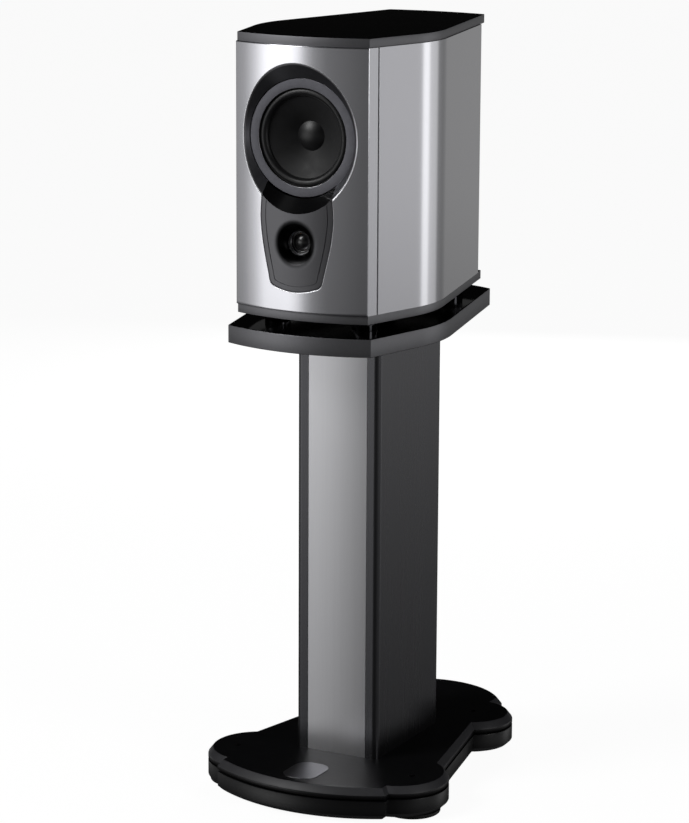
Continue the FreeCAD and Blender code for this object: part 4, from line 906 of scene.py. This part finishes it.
def stretch_between(piece, share):
    """Bakes the piece's transform and works out share(points in mm), each point's part of the movement; it
    is not applied.
    """
    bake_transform(piece)
    points = np.zeros(len(piece.data.vertices) * 3)
    piece.data.vertices.foreach_get("co", points)
    part = np.clip(share(points.reshape(-1, 3) / MM), 0, 1)


def fading(centre_z, inner, outer):
    """A share that falls smoothly from 1 at the inner radius to 0 at the outer one."""
    def share(points):
        far = np.hypot(points[:, 0], points[:, 2] - centre_z)
        t = np.clip((outer - far) / (outer - inner), 0, 1)
        return t * t * (3 - 2 * t)
    return share


surround = ring_piece("surround_rubber", surround_profile(), "woofer_surround", WOOFER, RUBBER, body=None,
                      slot="surround_rubber")
stretch_between(surround, fading(woofer_z, 63.6, 74.4))
print("surround:", len(surround.data.vertices), "points")

# %% [markdown]
# ## The tweeter's plate
#
# The waveguide is a cast plate whose face follows the baffle's bow, 0.6 mm behind it. A horn with a
# quarter-ellipse profile leads from the dome to the face, and a narrow groove runs 9 mm inside the rim.
# Where the plate passes the woofer it is cut away along the same cone as the baffle. It is worked out
# along rays round the tweeter's axis.

# %% Waveguide
THROAT, MOUTH = 18.3, 38.0                           # radii of the horn's two ends
THROAT_DEPTH = 5.5
APART = woofer_z - tweeter_z
PLATE_BACK = 0.6                                     # the plate's face lies this far behind the bow
FLOOR = 4.0                                          # depth of the pocket that holds it
GROOVE_IN, GROOVE_HALF, GROOVE_DEPTH = 8.8, 0.7, 1.3


def reach_circle(angle, radius):
    """Distance along each ray from the tweeter to a circle round the woofer's axis, or far away where it
    misses: the smaller root of r^2 + 2 r D cos a + D^2 = radius^2."""
    cosine = np.cos(angle)
    inside = (APART * cosine) ** 2 - APART ** 2 + radius ** 2
    return np.where((inside > 0) & (cosine < 0), -APART * cosine - np.sqrt(np.maximum(inside, 0)), 1e4)


def waveguide_rings():
    """Rings from the throat up the horn, over the face and its groove, and down the rim or the apron."""
    angle = np.linspace(-math.pi, math.pi, 560, endpoint=False)
    sine, cosine = np.sin(angle), -np.cos(angle)
    rim = along_rays(shield(), angle)

    def face(far):
        return bow(np.clip(far * sine, -112, 112)) - PLATE_BACK

    def ring(far, depth):
        return np.stack([far * sine, corner_y - depth, tweeter_z + far * cosine], -1)

    cut = np.full_like(angle, 60.0)
    for _ in range(20):
        cut = reach_circle(angle, RING_SEAT + SLOPE * (face(np.minimum(cut, 90)) - CONE_LOW))
    edge = np.minimum(rim, cut)
    end = np.minimum(rim, reach_circle(angle, RING_SEAT + 1.1))
    drop = np.where(cut < rim - 0.3, 0.0, 0.9)
    rings = [ring(np.full_like(angle, THROAT), np.full_like(angle, FLOOR))]
    for t in np.radians(np.linspace(0, 90, 22)):
        far = np.full_like(angle, MOUTH - (MOUTH - THROAT) * math.cos(t))
        rings.append(ring(far, THROAT_DEPTH + (face(far) - THROAT_DEPTH) * math.sin(t)))
    groove = np.minimum(along_rays(shield(-GROOVE_IN), angle), edge - 3.0)
    fade = np.clip((edge - groove - 3.0) / 3.0, 0, 1)
    for t in np.linspace(0.1, 1, 9):
        far = MOUTH + (groove - GROOVE_HALF - MOUTH) * t
        rings.append(ring(far, face(far)))
    for offset, deep in ((-0.5, 1.0), (0.5, 1.0), (GROOVE_HALF, 0.0)):
        far = groove + offset
        rings.append(ring(far, face(far) - deep * GROOVE_DEPTH * fade))
    for t in np.linspace(0.1, 1, 6):
        far = groove + GROOVE_HALF + (edge - drop - groove - GROOVE_HALF) * t
        rings.append(ring(far, face(far)))
    for t in np.radians((22, 45, 68, 90)):
        far = edge - drop * (1 - math.sin(t))
        rings.append(ring(far, face(far) - drop * (1 - math.cos(t))))
    for t in np.r_[0.02, np.linspace(0.1, 1, 12)]:
        far = edge + np.maximum(end - edge, 0) * t
        from_woofer = np.hypot(far * sine, APART - far * cosine)
        rings.append(ring(far, np.maximum(np.minimum(cone(from_woofer), face(far)) - drop, FLOOR)))
    rings.append(ring(np.maximum(end, edge), np.full_like(angle, FLOOR)))
    return np.array(rings)


def on_apron(c, n):
    """The part of the plate cut along the woofer's recess."""
    depth = corner_y - c[:, 1]
    return (c[:, 2] > tweeter_z + 30) & (depth < bow(np.clip(c[:, 0], -112, 112)) - PLATE_BACK - 0.12) & (
        radius_from_woofer(c) < RING_SEAT + SLOPE * (bow(np.clip(c[:, 0], -112, 112)) - 3.5))


waveguide = make_piece("waveguide", [skin(waveguide_rings(), loop=True)], [GRAPHITE_WITH_HORN_SHADE, HORN_BLACK, PAINTED_HIGHLIGHT],
                       slot="graphite_plate", stands_for=["tweeter_waveguide"], sharp=26)
paint_faces(waveguide, on_apron, 1)
# the throat's rim takes the painted highlight, a light ring round the dome
paint_faces(waveguide, lambda c, n: (np.hypot(c[:, 0], c[:, 2] - tweeter_z) < THROAT + 0.8)
            & (corner_y - c[:, 1] < 9), 2)

# %% [markdown]
# The dome is pressed from coated silk, 26 mm across. A narrow half-round of the same cloth hangs it from
# the clamp ring, whose metal lip carries a painted highlight: it is painted light as a thin bright circle.

# %% Dome, its surround and the clamp ring
shell("silk_dome", 13.0, (0.2, 5.0), (-0.2, 4.6), 24, "tweeter_dome", TWEETER, SILK,
      body="tweeter_moving_unit", slot="dome_silk", around=160)
hang = np.vstack([arc((14.38, 0.5), 1.22, 180, 0, 20), arc((14.38, 0.5), 0.95, 0, 180, 16)])
hung = ring_piece("dome_hanging_ring", hang, "tweeter_surround", TWEETER, SILK, body=None, around=160,
                  slot="dome_silk")
stretch_between(hung, fading(tweeter_z, 13.4, 15.4))
clamp = rounded([(15.8, -1.0), (37.5, -1.0), (37.5, 3.7), (18.5, 3.7), (17.5, 2.6), (17.5, 1.0),
                 (15.8, 1.0)], [0.1, 0.3, 0.3, 0.4, 0.3, 0.1, 0.2], 5)
clamp_ring = ring_piece("clamp_ring", clamp, "tweeter_clamp_ring", TWEETER, [HORN_BLACK, PAINTED_HIGHLIGHT],
                        slot="bright_ring")
# the lip takes the painted highlight, a thin bright circle round the dome; the rest stays black
paint_faces(clamp_ring, lambda c, n: (np.hypot(c[:, 0], c[:, 2] - tweeter_z) > 17.3)
            & (np.hypot(c[:, 0], c[:, 2] - tweeter_z) < 18.7) & (c[:, 1] < corner_y - 2.2), 1)

# %% [markdown]
# ## The stand
#
# The column is an aluminium extrusion: a closed box with rounded corners and a shallow recess in front,
# where a brushed silver panel is laid in. The base is two lacquered boards with a gap between them; each
# edge is bevelled, and the bevels are what the eye follows round the four lobes.

# %% Column and front panel
column_low, column_high = box_mm("stand_column")
panel_low, panel_high = box_mm("column_front_panel")


def box_plan(half, front, back, radius, steps=9):
    """Anticlockwise plan of a rectangle with rounded corners, starting at the front right."""
    corners = [(half, front), (half, back), (-half, back), (-half, front)]
    centres = [(x - math.copysign(radius, x), y + (radius if y == front else -radius)) for x, y in corners]
    plan = []
    for centre, start in zip(centres, (-90, 0, 90, 180)):
        curve = arc(centre, radius, start, start + 90, steps)
        into, out = (np.array([-math.sin(a), math.cos(a)]) * 0.4 for a in np.radians((start, start + 90)))
        plan += [curve[:1] - into, curve, curve[-1:] + out]      # a point on each flat keeps the flat flat
    return np.vstack(plan)


TUBE_WALL = 5


def tube_rings():
    """Rings of the tube, up the outside and down the inside, each with the recess cut in front."""
    front, back = column_low[1], column_high[1]
    recess = panel_high[0] + 0.3
    outer = box_plan(column_high[0], front, back, 9.0)
    dip = [(-recess, front), (-recess + 0.15, front + 3), (recess - 0.15, front + 3), (recess, front)]
    bevel = rounded(dip, [0.6, 0.1, 0.1, 0.6], 4, closed=False)
    ends = np.vstack([[(-recess - 0.8, front)], bevel, [(recess + 0.8, front)]])
    outside = np.vstack([outer, ends])
    pull = np.clip(outside, (-column_high[0] + TUBE_WALL, front + TUBE_WALL),
                   (column_high[0] - TUBE_WALL, back - TUBE_WALL))
    low, high = column_low[2], column_high[2]
    heights = [(outside, low), (outside, low + 0.5), (outside, high - 0.5), (outside, high), (pull, high),
               (pull, low)]
    return [np.column_stack([plan, np.full(len(plan), z)]) for plan, z in heights]


make_piece("column_tube", [skin(tube_rings(), loop=True)], COLUMN_BLACK, slot="black_anodised",
           stands_for=["stand_column"])
panel_plan = rounded([(panel_high[0], panel_low[1]), (panel_high[0], panel_high[1]),
                      (panel_low[0], panel_high[1]), (panel_low[0], panel_low[1])], [0.7, 0.1, 0.1, 0.7], 5)
make_piece("column_panel", [skin(upright(panel_plan, panel_low[2], panel_high[2]), lids=True)],
           [COLUMN_SILVER, PAINTED_HIGHLIGHT], slot="silver_anodised", stands_for=["column_front_panel"])

# %% [markdown]
# Seen from above, the base's outline is a chain of arcs: a bowed front, a lobe over each foot, a waist
# between front and rear lobes, and a bowed rear. Short straight steps join them. Every arc is moved inwards
# by the same inset for the bevels, and the places where the chain changes are worked out again each time.

# %% The base's outline
FRONT_ARC, REAR_ARC = 289.0, 139.0                   # radii of the bowed front and rear edges
FRONT_LOBE, REAR_LOBE = (125.0, 82.0), (98.0, 67.0)  # x of each lobe's middle, and its radius
FRONT_STEP, WAIST, REAR_STEP = 150.0, 172.0, 110.0   # x of the short straight edges between the arcs
LOBE_SETBACK, REAR_REACH = 11.0, 32.0                # front lobe behind its foot; rear lobe's first point
FACET_GAP = 0.03                                     # keeps the fine outline inside the solid's facets
rear_foot, front_foot = centre_mm("rear_right_foot_disc"), centre_mm("front_right_foot_disc")
front_lobe_y, rear_lobe_y = front_foot[1] + LOBE_SETBACK, rear_foot[1]
base_back = box_mm("base_lower_plate")[1][1]


def base_outline(inset=0.0):
    """The closed outline moved inwards by inset: bowed front, front lobe, waist, rear lobe, bowed rear."""
    inset = inset + FACET_GAP
    front_centre = (0.0, base_front + FRONT_ARC)
    x, radius = FRONT_STEP - inset, FRONT_ARC - inset
    front_y = front_centre[1] - math.sqrt(radius ** 2 - x ** 2)
    lobe, lobe_radius = (FRONT_LOBE[0], front_lobe_y), FRONT_LOBE[1] - inset
    step = (x, front_lobe_y - math.sqrt(lobe_radius ** 2 - (x - lobe[0]) ** 2))
    waist = WAIST - inset
    leave = (waist, front_lobe_y + math.sqrt(lobe_radius ** 2 - (waist - lobe[0]) ** 2))
    tail, tail_radius = (REAR_LOBE[0], rear_lobe_y), REAR_LOBE[1] - inset
    tail_x = REAR_LOBE[0] + REAR_REACH - inset
    enter = (tail_x, rear_lobe_y - math.sqrt(tail_radius ** 2 - (tail_x - tail[0]) ** 2))
    rear_x, rear_radius = REAR_STEP - inset, REAR_ARC - inset
    rear_centre = (0.0, base_back - REAR_ARC)
    rear_y = rear_centre[1] + math.sqrt(rear_radius ** 2 - rear_x ** 2)
    tail_end = (rear_x, rear_lobe_y + math.sqrt(tail_radius ** 2 - (rear_x - tail[0]) ** 2))
    right = np.vstack([
        arc(front_centre, radius, -90, bearing((x, front_y), front_centre), 40),
        run((x, front_y), step, 4)[1:],
        arc(lobe, lobe_radius, bearing(step, lobe), bearing(leave, lobe), 60)[1:],
        run(leave, enter, 12)[1:],
        arc(tail, tail_radius, bearing(enter, tail), bearing(tail_end, tail), 50)[1:],
        run(tail_end, (rear_x, rear_y), 4)[1:],
        arc(rear_centre, rear_radius, bearing((rear_x, rear_y), rear_centre), 90, 36)[1:]])
    return mirror_closed(right)


print("base is", round(2 * float(base_outline()[:, 0].max()), 1), "mm wide")

# %% Base plates and badge
def base_plate(name, nodes, profile, bevels):
    """One of the two boards, with the bevel's faces, chosen by their normals, painted grey as painted sheen.
    """
    piece = make_piece(name, [skin(stack(base_outline, profile), lids=True)], [BASE_BLACK, BASE_BEVEL_PAINTED_SHEEN],
                       slot="base_lacquer", stands_for=nodes, sharp=24)
    paint_faces(piece, bevels, 1)
    return piece


lower_low, lower_high = (v[2] for v in box_mm("base_lower_plate"))
upper_low, upper_high = (v[2] for v in box_mm("base_upper_plate"))
print("base heights:", lower_low, lower_high, upper_low, upper_high)
LOWER_TOP = 37.0
lower_profile = [(10.0, lower_low), (8.2, lower_low), (7.3, lower_low + 0.15), (0.5, lower_low + 6.6),
                 (0.0, lower_low + 7.6), (0.0, LOWER_TOP - 1.0), (0.3, LOWER_TOP - 0.3), (1.0, LOWER_TOP),
                 (9.0, LOWER_TOP), (9.0, upper_low)]
upper_profile = [(9.0, upper_low), (1.0, upper_low), (0.3, upper_low + 0.3), (0.0, upper_low + 1.0),
                 (0.0, upper_high - 10.8), (0.3, upper_high - 10.0), (0.9, upper_high - 9.2),
                 (7.4, upper_high - 0.9), (8.2, upper_high - 0.25), (9.2, upper_high), (11.5, upper_high)]
# the bevels, chosen by their normals, take the grey of painted sheen
base_plate("base_lower", ["base_lower_plate"], lower_profile, lambda c, n: (n[:, 2] < -0.3) & (c[:, 2] < 20))
base_plate("base_upper", ["base_upper_plate"], upper_profile,
           lambda c, n: (n[:, 2] > 0.3) & (n[:, 2] < 0.9))
badge_low, badge_high = box_mm("base_badge")
badge_profile = edge_profile(badge_low[2], badge_high[2], 0.35)
BADGE_HALF, BADGE_ROUND = 29, 22


def badge_outline(inset):
    return box_plan(BADGE_HALF - inset, badge_low[1] + inset, badge_high[1] - inset, BADGE_ROUND - inset, 24)


make_piece("badge", [skin(stack(badge_outline, badge_profile), lids=True)], BADGE, slot="badge_aluminium",
           stands_for=["base_badge"])

# %% [markdown]
# Four studs pass right through the base, so they can be turned with a hexagon key from above. The holes
# are cut with a boolean, as a drill would cut them, and the result is kept as the piece's own mesh.

# %% Drilled holes
def drilled(piece, centres, radius, low, high, sides=40):
    """Cuts upright round holes through a piece at each (x, y)."""
    bit = [(0, low), (radius, low), (radius, high), (0, high)]
    start, points, faces = 0, [], []
    for x, y in centres:
        part, part_faces = skin(turn(bit, "up", (x, y, 0), sides), start=start)
        points.append(part)
        faces += part_faces
        start += len(part)
    mesh = bpy.data.meshes.new("drill")
    mesh.from_pydata((np.vstack(points) * MM).tolist(), [], faces)
    work = bmesh.new()
    work.from_mesh(mesh)
    bmesh.ops.remove_doubles(work, verts=work.verts, dist=1e-6)
    bmesh.ops.dissolve_degenerate(work, edges=work.edges, dist=1e-7)
    bmesh.ops.recalc_face_normals(work, faces=work.faces)
    work.to_mesh(mesh)
    work.free()
    tool = bpy.data.objects.new("drill", mesh)
    bpy.context.scene.collection.objects.link(tool)
    cut = piece.modifiers.new("drill", "BOOLEAN")
    cut.object, cut.operation, cut.solver = tool, "DIFFERENCE", "EXACT"
    bpy.context.view_layer.update()
    result = bpy.data.meshes.new_from_object(piece.evaluated_get(bpy.context.evaluated_depsgraph_get()))
    piece.modifiers.clear()
    piece.data = result
    result.set_sharp_from_angle(angle=math.radians(24))
    bpy.data.objects.remove(tool)
    print(f"{piece.name}: drilled {len(centres)} holes")


FEET = ("front_right", "front_left", "rear_right", "rear_left")
STUD_HOLE, DRILL_LOW, DRILL_HIGH = 5.05, 3.0, 60.0   # radius, and the heights the drill runs between
stud_places = [centre_mm(f"{side}_foot_stud")[:2] for side in FEET]
for plate in ("base_lower", "base_upper"):
    drilled(bpy.data.objects[plate], stud_places, STUD_HOLE, DRILL_LOW, DRILL_HIGH)

# %% [markdown]
# Each foot is a turned disc with a threaded bore, and a stud that climbs into the base when it is turned
# from above with a hexagon key. The socket is the same turned surface, with its radius r changed to
# r cos 30 / cos a between the hexagon's corners.

# %% Levelling discs and studs
PAD, PAD_BORE_FLOOR = 45, 2.0                        # a disc's radius, and the height of its bore's floor
KEY_FLATS, SOCKET_FLOOR = 4.6, 44.0                  # a 4 mm key's socket, drawn a little wide


def hexagon(flats):
    """Radius multiplier that turns a circle of the hexagon's corner radius into the hexagon."""
    return lambda angle, radius, height: np.where(
        np.abs(radius - flats / math.sqrt(3)) < 0.02,
        math.cos(math.pi / 6) / np.cos((angle % (math.pi / 3)) - math.pi / 6), 1.0)


for side in FEET:
    disc, stud = f"{side}_foot_disc", f"{side}_foot_stud"
    low, high = box_mm(disc)
    x, y, _ = centre_mm(disc)
    corners = [(0.0, low[2]), (PAD - 1.5, low[2]), (PAD, low[2] + 1.5), (PAD, high[2]), (STUD_HOLE, high[2]),
               (STUD_HOLE, PAD_BORE_FLOOR), (0.0, PAD_BORE_FLOOR)]
    profile = rounded(corners, [0, 1, 1, 0.6, 0.1, 0.1, 0], 5, closed=False)
    make_piece(f"{side}_pad", [skin(turn(profile, "up", (x, y, 0), 128))], FOOT_BLACK, body=f"{side}_disc",
               slot="foot_black", stands_for=[disc])
    bottom, top = (v[2] for v in box_mm(stud))
    socket = KEY_FLATS / math.sqrt(3)                # the hexagon's corner radius
    profile = [(0, bottom), (4.4, bottom), (5.0, bottom + 0.6), (5.0, top - 0.6), (4.5, top),
               (socket + 0.1, top), (socket, top - 0.15), (socket, SOCKET_FLOOR), (0, SOCKET_FLOOR)]
    make_piece(f"{side}_levelling_stud", [skin(turn(profile, "up", (x, y, 0), 48, hexagon(KEY_FLATS)))],
               BLACK_STEEL, body=f"{side}_stud", slot="black_steel", stands_for=[stud])

# %% [markdown]
# Four turned standoffs hold the cabinet clear of the stand's top plate. They are plain cylinders with
# eased rims and a bore for the bolt, and one mesh holds all four, as they are one piece in the frame.

# %% Standoffs under the cabinet
standoff_low, standoff_high = box_mm("speaker_feet")
standoff_places = [(side * half, corner_y + back)
                   for half, back in ((76.0, 60), (60.0, 390)) for side in (1, -1)]
standoff = rounded([(4.3, standoff_low[2]), (20.0, standoff_low[2]), (20.0, standoff_high[2]),
                    (4.3, standoff_high[2])], [0.2, 0.7, 0.7, 0.2], 5)
make_piece("standoffs", [skin(turn(standoff, "up", (x, y, 0), 96), loop=True) for x, y in standoff_places],
           STANDOFF, slot="dark_chrome", stands_for=["speaker_feet"])

# %% [markdown]
# ## The rear
#
# A flared ring finishes the reflex port's tube, which carries the bass from inside. Below it a plate
# holds two binding posts: a bored stem for a plug, a gold-plated washer and a ribbed knob that clamps a
# bare wire. The knob's radius falls by a fixed depth between ribs: r (1 - d cos^2(n a / 2)).

# %% Reflex port
PORT = (0, cabinet_back, port_z)
port_low = box_mm("port_tube")[0]
PORT_BORE, PORT_OUTER = 25.0, 28.0
tube_end = port_low[1] - cabinet_back
tube_profile = rounded([(PORT_BORE, tube_end), (PORT_OUTER, tube_end), (PORT_OUTER, 0.0), (PORT_BORE, 0.0)],
                       [0.8, 0.8, 0.1, 0.1], 5)
ring_piece("reflex_tube", tube_profile, "port_tube", PORT, MOULDED, axis="rear", around=160,
           slot="port_plastic")
flare_rim = rounded([(38, 0), (38, 1.5), (30, 4)], [0, 0.5, 0], 5, closed=False)[1:]
flare_lip = np.vstack([[(PORT_BORE, 0.0), (38.0, 0.0)], flare_rim, arc((29.6, 0.2), 3.8, 84, 178, 12),
                       [(PORT_BORE, 0.3)]])
flare_lip[:, 0] = np.maximum(flare_lip[:, 0], PORT_BORE)
ring_piece("port_flare", flare_lip, "port_trim_ring", PORT, MOULDED, axis="rear", around=192,
           slot="port_plastic")

# %% Terminal plate
terminal_low, terminal_high = box_mm("terminal_plate")
terminal_z = (terminal_low[2] + terminal_high[2]) / 2


def upright_ring(inset, y):
    """The plate's rounded outline, moved inwards by inset, standing at depth y."""
    plan = box_plan(terminal_high[0] - inset, terminal_low[2] + inset, terminal_high[2] - inset, 3.0, 6)
    return np.column_stack([plan[:, 0], np.full(len(plan), y), plan[:, 1]])


POST_FACE = terminal_high[1]
edge_steps = ((1.0, terminal_low[1]), (0.0, terminal_low[1]), (0.0, POST_FACE - 0.6), (0.2, POST_FACE - 0.2),
              (0.6, POST_FACE), (2.0, POST_FACE))
make_piece("terminal_panel", [skin([upright_ring(*step) for step in edge_steps], lids=True)], TERMINAL_METAL,
           slot="terminal_aluminium", stands_for=["terminal_plate"])

# %% Binding posts
RIBS, RIB_DEPTH = 24, 0.05


def ribbed(angle, radius, height):
    """The multiplier that cuts ribs into a knob's side, and leaves its ends and bore alone."""
    side = (radius > 7.9) & (height > 4.0) & (height < 16.5)
    return np.where(side, 1 - RIB_DEPTH * np.cos(RIBS * angle / 2) ** 2, 1.0)


for colour, finish in (("red", KNOB_RED), ("black", KNOB_BLACK)):
    x = centre_mm(f"{colour}_post_knob")[0]
    post = (x, POST_FACE, terminal_z)
    washer = rounded([(3.05, 0.2), (7.5, 0.2), (7.5, 2.2), (3.05, 2.2)], [0.1, 0.4, 0.4, 0.1], 4)
    ring_piece(f"{colour}_washer_gold", washer, f"{colour}_post_washer", post, GOLD, axis="rear", around=96,
               body=f"{colour}_washer", slot="gold_brass")
    knob = rounded([(3.05, 2.4), (7.0, 2.4), (8.0, 3.4), (8.0, 4.1), (8.0, 16.4), (8.0, 17.0), (6.8, 18.6),
                    (2.35, 18.6), (2.35, 17.2), (3.05, 17.2)],
                   [0.1, 0.5, 0.3, 0.05, 0.05, 0.3, 0.6, 0.3, 0.05, 0.05], 4)
    rings = turn(knob, "rear", post, RIBS * 12, ribbed)
    make_piece(f"{colour}_knob_ribbed", [skin(rings, loop=True)], finish, body=f"{colour}_knob",
               slot=f"post_{colour}", stands_for=[f"{colour}_post_knob"])

# %% [markdown]
# ## Pieces kept from the frame
#
# Everything inside the cabinet, and the flat panels whose shape is already exact, keep their own solids
# and take a finish according to their material.

# %% Finishes for the kept solids
FINISH = {
    "silver_lacquer": SILVER, "bare_board": BOARD, "rear_lacquer": REAR_BLACK, "black_lacquer": PLATE_BLACK,
    "base_lacquer": BASE_BLACK, "black_anodised": COLUMN_BLACK, "silver_anodised": COLUMN_SILVER,
    "badge_aluminium": BADGE, "dark_chrome": STANDOFF, "zinc_steel": ZINC, "black_steel": BLACK_STEEL,
    "foot_black": FOOT_BLACK, "cast_alloy": CAST_ALLOY, "trim_speckle": TRIM, "motor_steel": MOTOR_STEEL,
    "ferrite": FERRITE, "cone_paper": PAPER, "coil_copper": COPPER, "surround_rubber": RUBBER,
    "gasket_foam": FOAM, "spider_cloth": SPIDER, "graphite_plate": GRAPHITE_WITH_HORN_SHADE, "bright_ring": PAINTED_HIGHLIGHT,
    "dome_silk": SILK, "cup_plastic": MOULDED, "port_plastic": MOULDED, "terminal_aluminium": TERMINAL_METAL,
    "gold_brass": GOLD, "post_red": KNOB_RED, "post_black": KNOB_BLACK, "circuit_board": CIRCUIT,
    "capacitor_film": CAPACITOR, "wire_insulation": WIRE, "felt": FELT,
}
kept = 0
for part in frame["record"]["subparts"]:
    solid = frame["nodes"][part["node"]]
    if solid.hide_render:
        continue
    for place in solid.material_slots:
        place.material = FINISH[part["material_slot"]]
    kept += 1
print("kept solids:", kept)

# %% [markdown]
# ## Room, camera and light
#
# A product studio is mostly large soft panels against dark. The glossy surfaces show that room, so it is
# made as a world: a pale sweep for the camera, and for reflections a ring of light and dark bands at
# different bearings. The floor is pale and plain, and gives only a soft contact shadow.

# %% Floor
floor_mesh = bpy.data.meshes.new("floor")
floor_mesh.from_pydata([(-40, -40, 0), (40, -40, 0), (40, 40, 0), (-40, 40, 0)], [], [(0, 1, 2, 3)])
floor = bpy.data.objects.new("floor", floor_mesh)
bpy.context.scene.collection.objects.link(floor)
floor.visible_glossy = False
floor.visible_diffuse = False
floor_paint = bpy.data.materials.new("studio_floor")
floor_paint.use_nodes = True
floor_tree = floor_paint.node_tree
floor_tree.nodes.clear()
matt = add(floor_tree, "BsdfDiffuse", Color="#6c6c6c")
glow = add(floor_tree, "Emission", Color="#ffffff", Strength=0.95)
both = add(floor_tree, "AddShader", i_0=matt.outputs[0], i_1=glow.outputs[0])
add(floor_tree, "OutputMaterial", Surface=both.outputs[0])
floor_mesh.materials.append(floor_paint)
print("floor reflects", round(linear("#6c6c6c")[0], 2), "of the light on it")

# %% World: what the glossy surfaces see
WORLD_PEAK = 2.7                                     # a ramp holds 0 to 1, so bands are divided by this
BANDS = [(-180, 0.3), (-150, 0.2), (-125, 0.5), (-100, 0.55), (-75, 0.42), (-64, 0.6), (-56, 1.2),
         (-49, 2.1), (-32, 2.3), (-27, 1.8), (-23, 0.9), (-18, 0.45), (-10, 0.25), (12, 0.14), (40, 0.2),
         (60, 0.4), (100, 0.6), (121, 0.75), (129, 0.8), (132, 1.8), (139, 1.8), (142, 1.0), (154, 0.8),
         (157, 0.3), (168, 0.22), (180, 0.3)]        # bearing in degrees from the front, brightness
HEIGHTS = [(-90, 0.1), (-35, 0.05), (-20, 0.08), (-16.5, 0.18), (-13, 0.42), (-10.5, 0.8), (-8.5, 0.97),
           (-6, 1.0), (-2, 1.0), (1, 0.35), (3, 0.03), (6, 0.012), (50, 0.02),
           (90, 0.1)]                                # height in degrees above level, share of the band
world = bpy.data.worlds.new("studio")
bpy.context.scene.world = world
world.use_nodes = True
sky = world.node_tree
sky.nodes.clear()
way = add(sky, "SeparateXYZ", Vector=add(sky, "TexCoord").outputs["Generated"])
south = add(sky, "Math", {"operation": "MULTIPLY"}, i_0=way.outputs["Y"], i_1=-1.0)
bearing_in = add(sky, "Math", {"operation": "ARCTAN2"}, i_0=way.outputs["X"], i_1=south.outputs[0])
height_in = add(sky, "Math", {"operation": "ARCSINE"}, i_0=way.outputs["Z"])
shades = []
for angle_in, half_turns, stops, peak in ((bearing_in, 1.0, BANDS, WORLD_PEAK),
                                          (height_in, 0.5, HEIGHTS, 1.0)):
    span = half_turns * math.pi
    factor = add(sky, "MapRange", Value=angle_in.outputs[0], From_Min=-span, From_Max=span)
    shade = add(sky, "ValToRGB", Fac=factor.outputs[0])
    marks = shade.color_ramp.elements
    marks.remove(marks[-1])
    for number, (degrees, bright) in enumerate(stops):
        at = (degrees / 180 / half_turns + 1) / 2
        mark = marks.new(at) if number else marks[0]
        mark.position, mark.color = at, (bright / peak, bright / peak, bright / peak, 1)
    shades.append(shade.outputs["Color"])
room = add(sky, "Mix", {"data_type": "RGBA", "blend_type": "MULTIPLY"}, i_0=1.0, i_6=shades[0],
           i_7=shades[1])
inside = add(sky, "Background", Color=room.outputs[2], Strength=WORLD_PEAK)
outside = add(sky, "Background", Color="#ffffff", Strength=1.0)
seen = add(sky, "LightPath").outputs["Is Camera Ray"]
mixed = add(sky, "MixShader", i_0=seen, i_1=inside.outputs[0], i_2=outside.outputs[0])
add(sky, "OutputWorld", Surface=mixed.outputs[0])
print("room:", len(BANDS), "bands round,", len(HEIGHTS), "bands up")

# %% [markdown]
# Three soft lamps add what the room's bands can't: a key from the front left and above, a weaker side light,
# and a rear light that only lifts the pieces behind and isn't mirrored in the gloss.

# %% Lamps
def softbox(name, place, aim, size, power):
    """A rectangular area lamp at place, facing aim, in metres and watts."""
    lamp = bpy.data.lights.new(name, "AREA")
    lamp.shape, lamp.size, lamp.size_y, lamp.energy = "RECTANGLE", size[0], size[1], power
    holder = bpy.data.objects.new(name, lamp)
    bpy.context.scene.collection.objects.link(holder)
    holder.location = place
    holder.rotation_euler = (Vector(aim) - Vector(place)).to_track_quat("-Z", "Y").to_euler()
    return holder


softbox("key", (-1.9, -2.6, 2.6), (0, -0.1, 0.9), (1.2, 1.2), 45)
softbox("side", (3.2, -0.6, 1.6), (0, -0.1, 0.7), (1.0, 2.0), 18)
softbox("rear", (-1.2, 3.4, 1.2), (0, 0.1, 0.8), (1.4, 1.4), 30).visible_glossy = False
print("lamps:", [lamp.name for lamp in bpy.data.lights])

# %% [markdown]
# The camera stands about 5 m away with a long lens, a little above the cabinet's top, so upright lines stay
# nearly parallel. Its place and its three turns are given outright, and the picture has no tone curve.

# %% Camera
yaw, pitch, roll = (math.radians(a) for a in (27.922, 12.511, 0.278))
forward = Vector((-math.sin(yaw) * math.cos(pitch), math.cos(yaw) * math.cos(pitch), -math.sin(pitch)))
right = Vector((math.cos(yaw), math.sin(yaw), 0))
above = right.cross(forward)
rolled = right * math.cos(roll) + above * math.sin(roll)
raised = above * math.cos(roll) - right * math.sin(roll)
lens = bpy.data.cameras.new("camera")
lens.lens, lens.sensor_width, lens.clip_end = 135.45, 36.0, 200.0
camera = bpy.data.objects.new("camera", lens)
bpy.context.scene.collection.objects.link(camera)
frame_of_view = Matrix((rolled, raised, -forward)).transposed().to_4x4()
frame_of_view.translation = Vector((2.223, -4.313, 1.666))
camera.matrix_world = frame_of_view
bpy.context.scene.camera = camera
bpy.context.scene.view_settings.view_transform = "Standard"
print("camera", round(frame_of_view.translation.length, 2), "m from the floor under the speaker")
